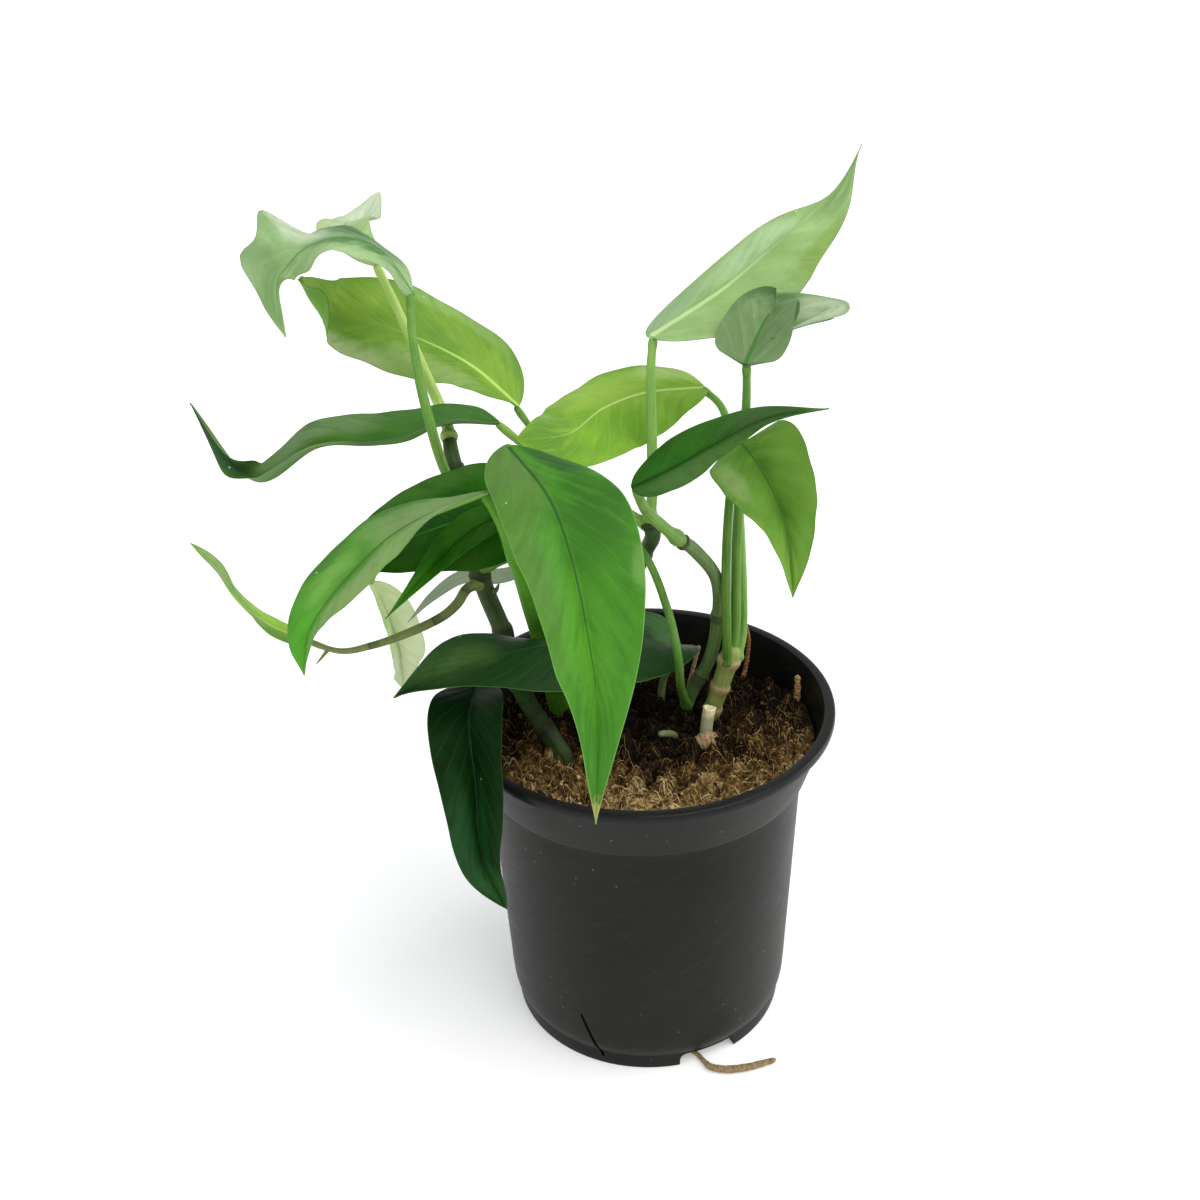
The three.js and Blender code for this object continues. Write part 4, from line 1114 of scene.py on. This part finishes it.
def make_soil():
    angle = circle(SOIL_SECTORS)
    edge = np.array([inner_radius(soil_height(50 * math.cos(a), 50 * math.sin(a))) - SOIL_CLEARANCE
                     for a in angle])
    walls = [(inner_radius(z) - SOIL_CLEARANCE, z) for z in (10, 20, STEP_HEIGHT - 1.3, STEP_HEIGHT + 1.6)]
    rings = [np.stack([r * np.cos(angle), r * np.sin(angle), np.full(SOIL_SECTORS, z)], 1)
             for r, z in [(FOOT_RADIUS - 4.5, SOIL_FLOOR)] + walls]
    for i in range(SOIL_RINGS, 0, -1):
        r = edge * (i / SOIL_RINGS) ** 0.8
        x, y = r * np.cos(angle), r * np.sin(angle)
        fade = min(1, (SOIL_RINGS - i) / 3)
        rings.append(np.stack([x, y, soil_height(x, y) + crumbs(x, y) * fade], 1))
    vertices, faces = closed_turn(rings, (0, 0, SOIL_FLOOR), (0, 0, float(soil_height(0, 0))))
    new_piece("soil_surface", vertices, faces, soil_finish(), ["soil"])


def ground_at(x, y):
    return float(soil_height(x, y) + crumbs(x, y))


def spot_on_soil(spread=0.97):
    angle = chance.uniform(0, 2 * math.pi)
    r = math.sqrt(chance.uniform(0, 1)) * SOIL_REACH * spread
    return r * math.cos(angle), r * math.sin(angle)


def strand_shape(spot, length, thickness, lift, sides=3):
    """One curled fibre that starts in the soil and lies over it."""
    x, y = spot
    heading = chance.uniform(0, 2 * math.pi)
    turn = chance.uniform(-1.6, 1.6)
    points = []
    for i in range(5):
        share = i / 4
        ground = ground_at(x, y)
        points.append((x, y, ground - 0.3 + lift * math.sin(math.pi * share) + 0.4 * share))
        heading += turn / 4
        x += math.cos(heading) * length / 4
        y += math.sin(heading) * length / 4
        r = math.hypot(x, y)
        if r > FIBRE_REACH:
            x, y = x * FIBRE_REACH / r, y * FIBRE_REACH / r
    radius = [thickness, thickness, thickness * 0.4]
    t = np.linspace(0, 1, 6)
    centres, side, up = curl_frames(points, t, (0.3, 0.4, 1))
    size = number_along(radius, t)[:, None] * np.ones(sides)[None, :]
    shade = chance.uniform(0, 1)
    return *ring_mesh(centres, side, up, size), np.full((len(t) * sides, 3), shade)


CHIP_CORNERS = unit(np.array([(x, y, z) for x in (-1, 1) for y in (-1, 1) for z in (-1, 1)], float))
CHIP_FACES = [(0, 1, 3, 2), (4, 6, 7, 5), (0, 4, 5, 1), (2, 3, 7, 6), (0, 2, 6, 4), (1, 5, 7, 3)]


def chip_shape(spot, size):
    """One crumb of bark or peat: an uneven block, half sunk."""
    x, y = spot
    stretch = chance.uniform(0.45, 1.3, 3) * size
    corners = CHIP_CORNERS * chance.uniform(0.7, 1.15, (8, 1)) * stretch
    a, b = chance.uniform(0, 2 * math.pi, 2)
    turn = np.array(Matrix.Rotation(a, 3, "Z") @ Matrix.Rotation(b, 3, "X"))
    corners = corners @ turn.T + np.array([x, y, ground_at(x, y) + 0.15 * size])
    return corners, CHIP_FACES, np.full((8, 3), chance.uniform(0, 1))


def bits_finish(name, stops, roughness):
    """Each fibre or crumb takes its own tone, with a little streaking, lighter towards the front and with
    painted shade in the middle.
    """
    fin = Finish(name)
    shade = fin.node("ShaderNodeAttribute", {"attribute_name": "place"}, output="Fac")
    streak = fin.noise(fin.place(), 1500, 3, 0.6)
    front = lighter_front_shaded_middle(fin, 10)
    colour = fin.ramp(fin.clamp(shade * 0.85 - 0.06 + (streak - 0.5) * 0.5 + front), stops)
    return fin.finish_with(Base_Color=colour, Roughness=roughness, Normal=fin.bump(streak, 0.5, 0.0003),
                           Specular_IOR_Level=0.15)


def make_bits(kind, shapes, stops, roughness, smooth):
    vertices, faces, place = gather(shapes)
    new_piece("soil_" + kind, vertices, faces, bits_finish("finish_" + kind, stops, roughness),
              smooth=smooth, attributes={"place": place})


def make_soil_bits():
    strands = [strand_shape(spot_on_soil(), chance.uniform(1.5, 7), chance.uniform(0.06, 0.2),
                            abs(chance.normal(0, 0.9))) for _ in range(FIBRE_COUNT)]
    shades = [(0, "#1d140b"), (0.35, "#553e1f"), (0.7, "#a38149"), (1, "#e0cc9c")]
    make_bits("fibres", strands, shades, 0.8, True)
    chips = [chip_shape(spot_on_soil(0.96), abs(chance.normal(0, 0.45)) + 0.2) for _ in range(CRUMB_COUNT)]
    shades = [(0, "#0f0a06"), (0.45, "#38270f"), (0.8, "#8a6a3a"), (1, "#cfb078")]
    make_bits("crumbs", chips, shades, 0.9, False)


# Dry pieces in the soil, and the root that has grown out on to the ground: name, route, radii, dark
# and light tone, roughness of the skin, slot
DRY = [
    ("callus", [(16, -5, 99), (20, -4, 100), (24, -3, 99)], [2.2, 3, 2.4], "#7a5a3c", "#cdb08c",
     0.45, "dry_root"),
    ("stub_old_petiole", [(11, 5, 90), (9.5, 1, 99), (5, -7, 105)], [1.3, 1.2, 1], "#55633c",
     "#8f9a6c", 0.15, "stalk_green"),
    ("root_dry_back", [(32, 34, 93), (35, 38, 100), (36, 38, 111), (35, 37, 118)], [0.9, 0.7, 0.5],
     "#8a5632", "#c08a5c", 0.15, "dry_root"),
    ("twig_dry_middle", [(14, 29, 90), (15, 29, 98), (19, 30, 115)], [0.8, 0.7, 0.6], "#8f6f48",
     "#cfae80", 0.12, "dry_root"),
    ("twig_knobby_right", [(47, 14, 95), (50, 15, 103), (50, 15, 112)], [1, 1.1, 0.8], "#8f6a3f",
     "#c8a674", 0.3, "dry_root"),
    ("root_from_drain", [(13, -38, 2.1), (16, -41, 1.4), (18, -44, 1.4), (20, -46, 1.4),
     (25, -47, 1.4), (32, -46, 1.4), (41, -43, 1.4)], [1, 0.8, 1, 1.2, 1.2, 0.9], "#6f5c3c",
     "#a8946c", 0.1, "dry_root"),
]


def knobs(strength, seed):
    """Knobbly skin, the same each time for one seed."""

    def relief(distance, angle, length):
        rough = np.sin(distance * 1.9 + seed) * np.sin(2 * angle + seed) + 0.6 * np.sin(
            distance * 3.7 - 3 * angle + 2 * seed) + 0.4 * np.sin(distance * 7.1 + 5 * angle)
        return strength * rough * 0.5

    return relief


def bark_finish(name, dark, light):
    """Dry skin: long wrinkles, pale flakes and darker creases."""
    fin = Finish("finish_" + name)
    place = fin.painted("place")
    fine = fin.noise(fin.place(), 1300, 4, 0.7)
    broad = fin.noise(fin.place(), 350, 3)
    rings = fin.node("ShaderNodeMath", {"operation": "SINE"}, [place * 5.5 + broad * 9])
    shade = fin.clamp(0.45 + (fine - 0.5) * 1.6 + (broad - 0.5) * 1.4 + rings * 0.12)
    colour = fin.mix(shade, tint(dark), tint(light))
    relief = fine * 0.6 + rings * 0.2
    return fin.finish_with(Base_Color=colour, Roughness=0.75, Normal=fin.bump(relief, 0.7, 0.0005),
                           Specular_IOR_Level=0.3)


def make_dry_pieces():
    for i, (name, route, radius, dark, light, rough, slot) in enumerate(DRY):
        shape = tube_shape(route, radius, 18, 0.45, knobs(rough, i + 1))
        new_skin(name, shape, bark_finish(name, dark, light))


def make_cut_ring():
    """The stub of a cut stalk: a green wall round a paler core, with a ragged cream rim."""
    route = [(20, 2, 92), (20, 2, 100), (21, 3, 108)]

    def ragged(distance, angle, length):
        near_top = np.clip((distance - length + 3) / 3, 0, 1)
        return 0.25 * near_top * np.sin(3 * angle + 1) + 0.15 * near_top * np.sin(8 * angle)

    sides = 24
    vertices, faces, place = tube_shape(route, [1.9, 2.0, 2.0], sides, 0.5, ragged, round_end=False)
    top = len(vertices) - sides
    middle = vertices[top:].mean(axis=0)
    rim = middle + (vertices[top:] - middle) * CORE_SHARE
    pit = rim - np.array([0, 0, CORE_DEPTH])
    faces = faces[:-1]
    start = len(vertices)
    vertices = np.vstack([vertices, rim, pit])
    place = np.vstack([place, place[top:], place[top:]])
    for j in range(sides):
        k = (j + 1) % sides
        faces.append((top + j, top + k, start + k, start + j))
        faces.append((start + j, start + k, start + sides + k, start + sides + j))
    faces.append(tuple(start + sides + j for j in range(sides)))
    fin = Finish("finish_stub_cut_ring")
    height = fin.parts(fin.place()).also("Z") * 1000
    fine = fin.noise(fin.place(), 1400, 3)
    colour = fin.mix(fine, tint("#8a9468"), tint("#c3c49c"))
    cream = fin.smooth(104.5, 106.8, height + (fine - 0.5) * 2)
    colour = fin.mix(cream, colour, tint("#efe3bd"))
    finish = fin.finish_with(Base_Color=colour, Roughness=0.6, Normal=fin.bump(fine, 0.5, 0.0004))
    new_skin("stub_cut_ring", (vertices, faces, place), finish)


# Stage


def floor_finish():
    fin = Finish("finish_floor")
    soft = fin.noise(fin.place(), 3, 2)
    colour = fin.mix(soft * 0.3, tint("#fbfbfb"), tint("#f6f7f8"))
    # The floor glows faintly, a painted light that softens the shadows on it and lights the plant from
    # below.
    return fin.finish_with(Base_Color=colour, Roughness=0.7, Specular_IOR_Level=0.2,
                           Emission_Color=(0.97, 0.99, 1.0, 1.0), Emission_Strength=0.22)


def make_stage():
    """A pale floor and even soft light. The floor's corners are in metres."""
    corners = [(-FLOOR_REACH, -FLOOR_REACH, 0), (FLOOR_REACH, -FLOOR_REACH, 0),
               (FLOOR_REACH, FLOOR_REACH, 0), (-FLOOR_REACH, FLOOR_REACH, 0)]
    mesh = bpy.data.meshes.new("floor")
    mesh.from_pydata(corners, [], [(0, 1, 2, 3)])
    mesh.materials.append(floor_finish())
    floor = put("floor", mesh)
    world = bpy.data.worlds.new("studio")
    world.use_nodes = True
    sky = world.node_tree.nodes["Background"]
    sky.inputs["Color"].default_value = SKY_COLOUR
    sky.inputs["Strength"].default_value = SKY_STRENGTH
    bpy.context.scene.world = world
    for name, towards, spread, strength, colour in SUNS:
        data = bpy.data.lights.new(name, "SUN")
        data.angle = math.radians(spread)
        data.energy = strength
        data.color = colour
        lamp = put(name, data)
        lamp.location = towards
        lamp.rotation_euler = (-Vector(towards)).to_track_quat("-Z", "Y").to_euler()


def make_camera():
    data = bpy.data.cameras.new("camera")
    data.sensor_width = SENSOR_MM
    data.lens = SENSOR_MM * FOCAL_PX / FRAME_PX
    data.clip_start = 0.01
    data.clip_end = 50
    camera = put("camera", data)
    back = -Vector(CAMERA_AIM).normalized()
    right = Vector(CAMERA_UP).cross(back).normalized()
    up = back.cross(right)
    turn = Matrix((right, up, back)).transposed().to_4x4()
    camera.matrix_world = Matrix.Translation(Vector(CAMERA_PLACE) * MM) @ turn
    bpy.context.scene.camera = camera


make_camera()
make_stage()
make_pot()
make_soil()
make_soil_bits()
make_stems()
make_stalks()
make_bracts()
make_leaves()
make_dry_pieces()
make_cut_ring()
bpy.context.scene.view_settings.view_transform = "Standard"
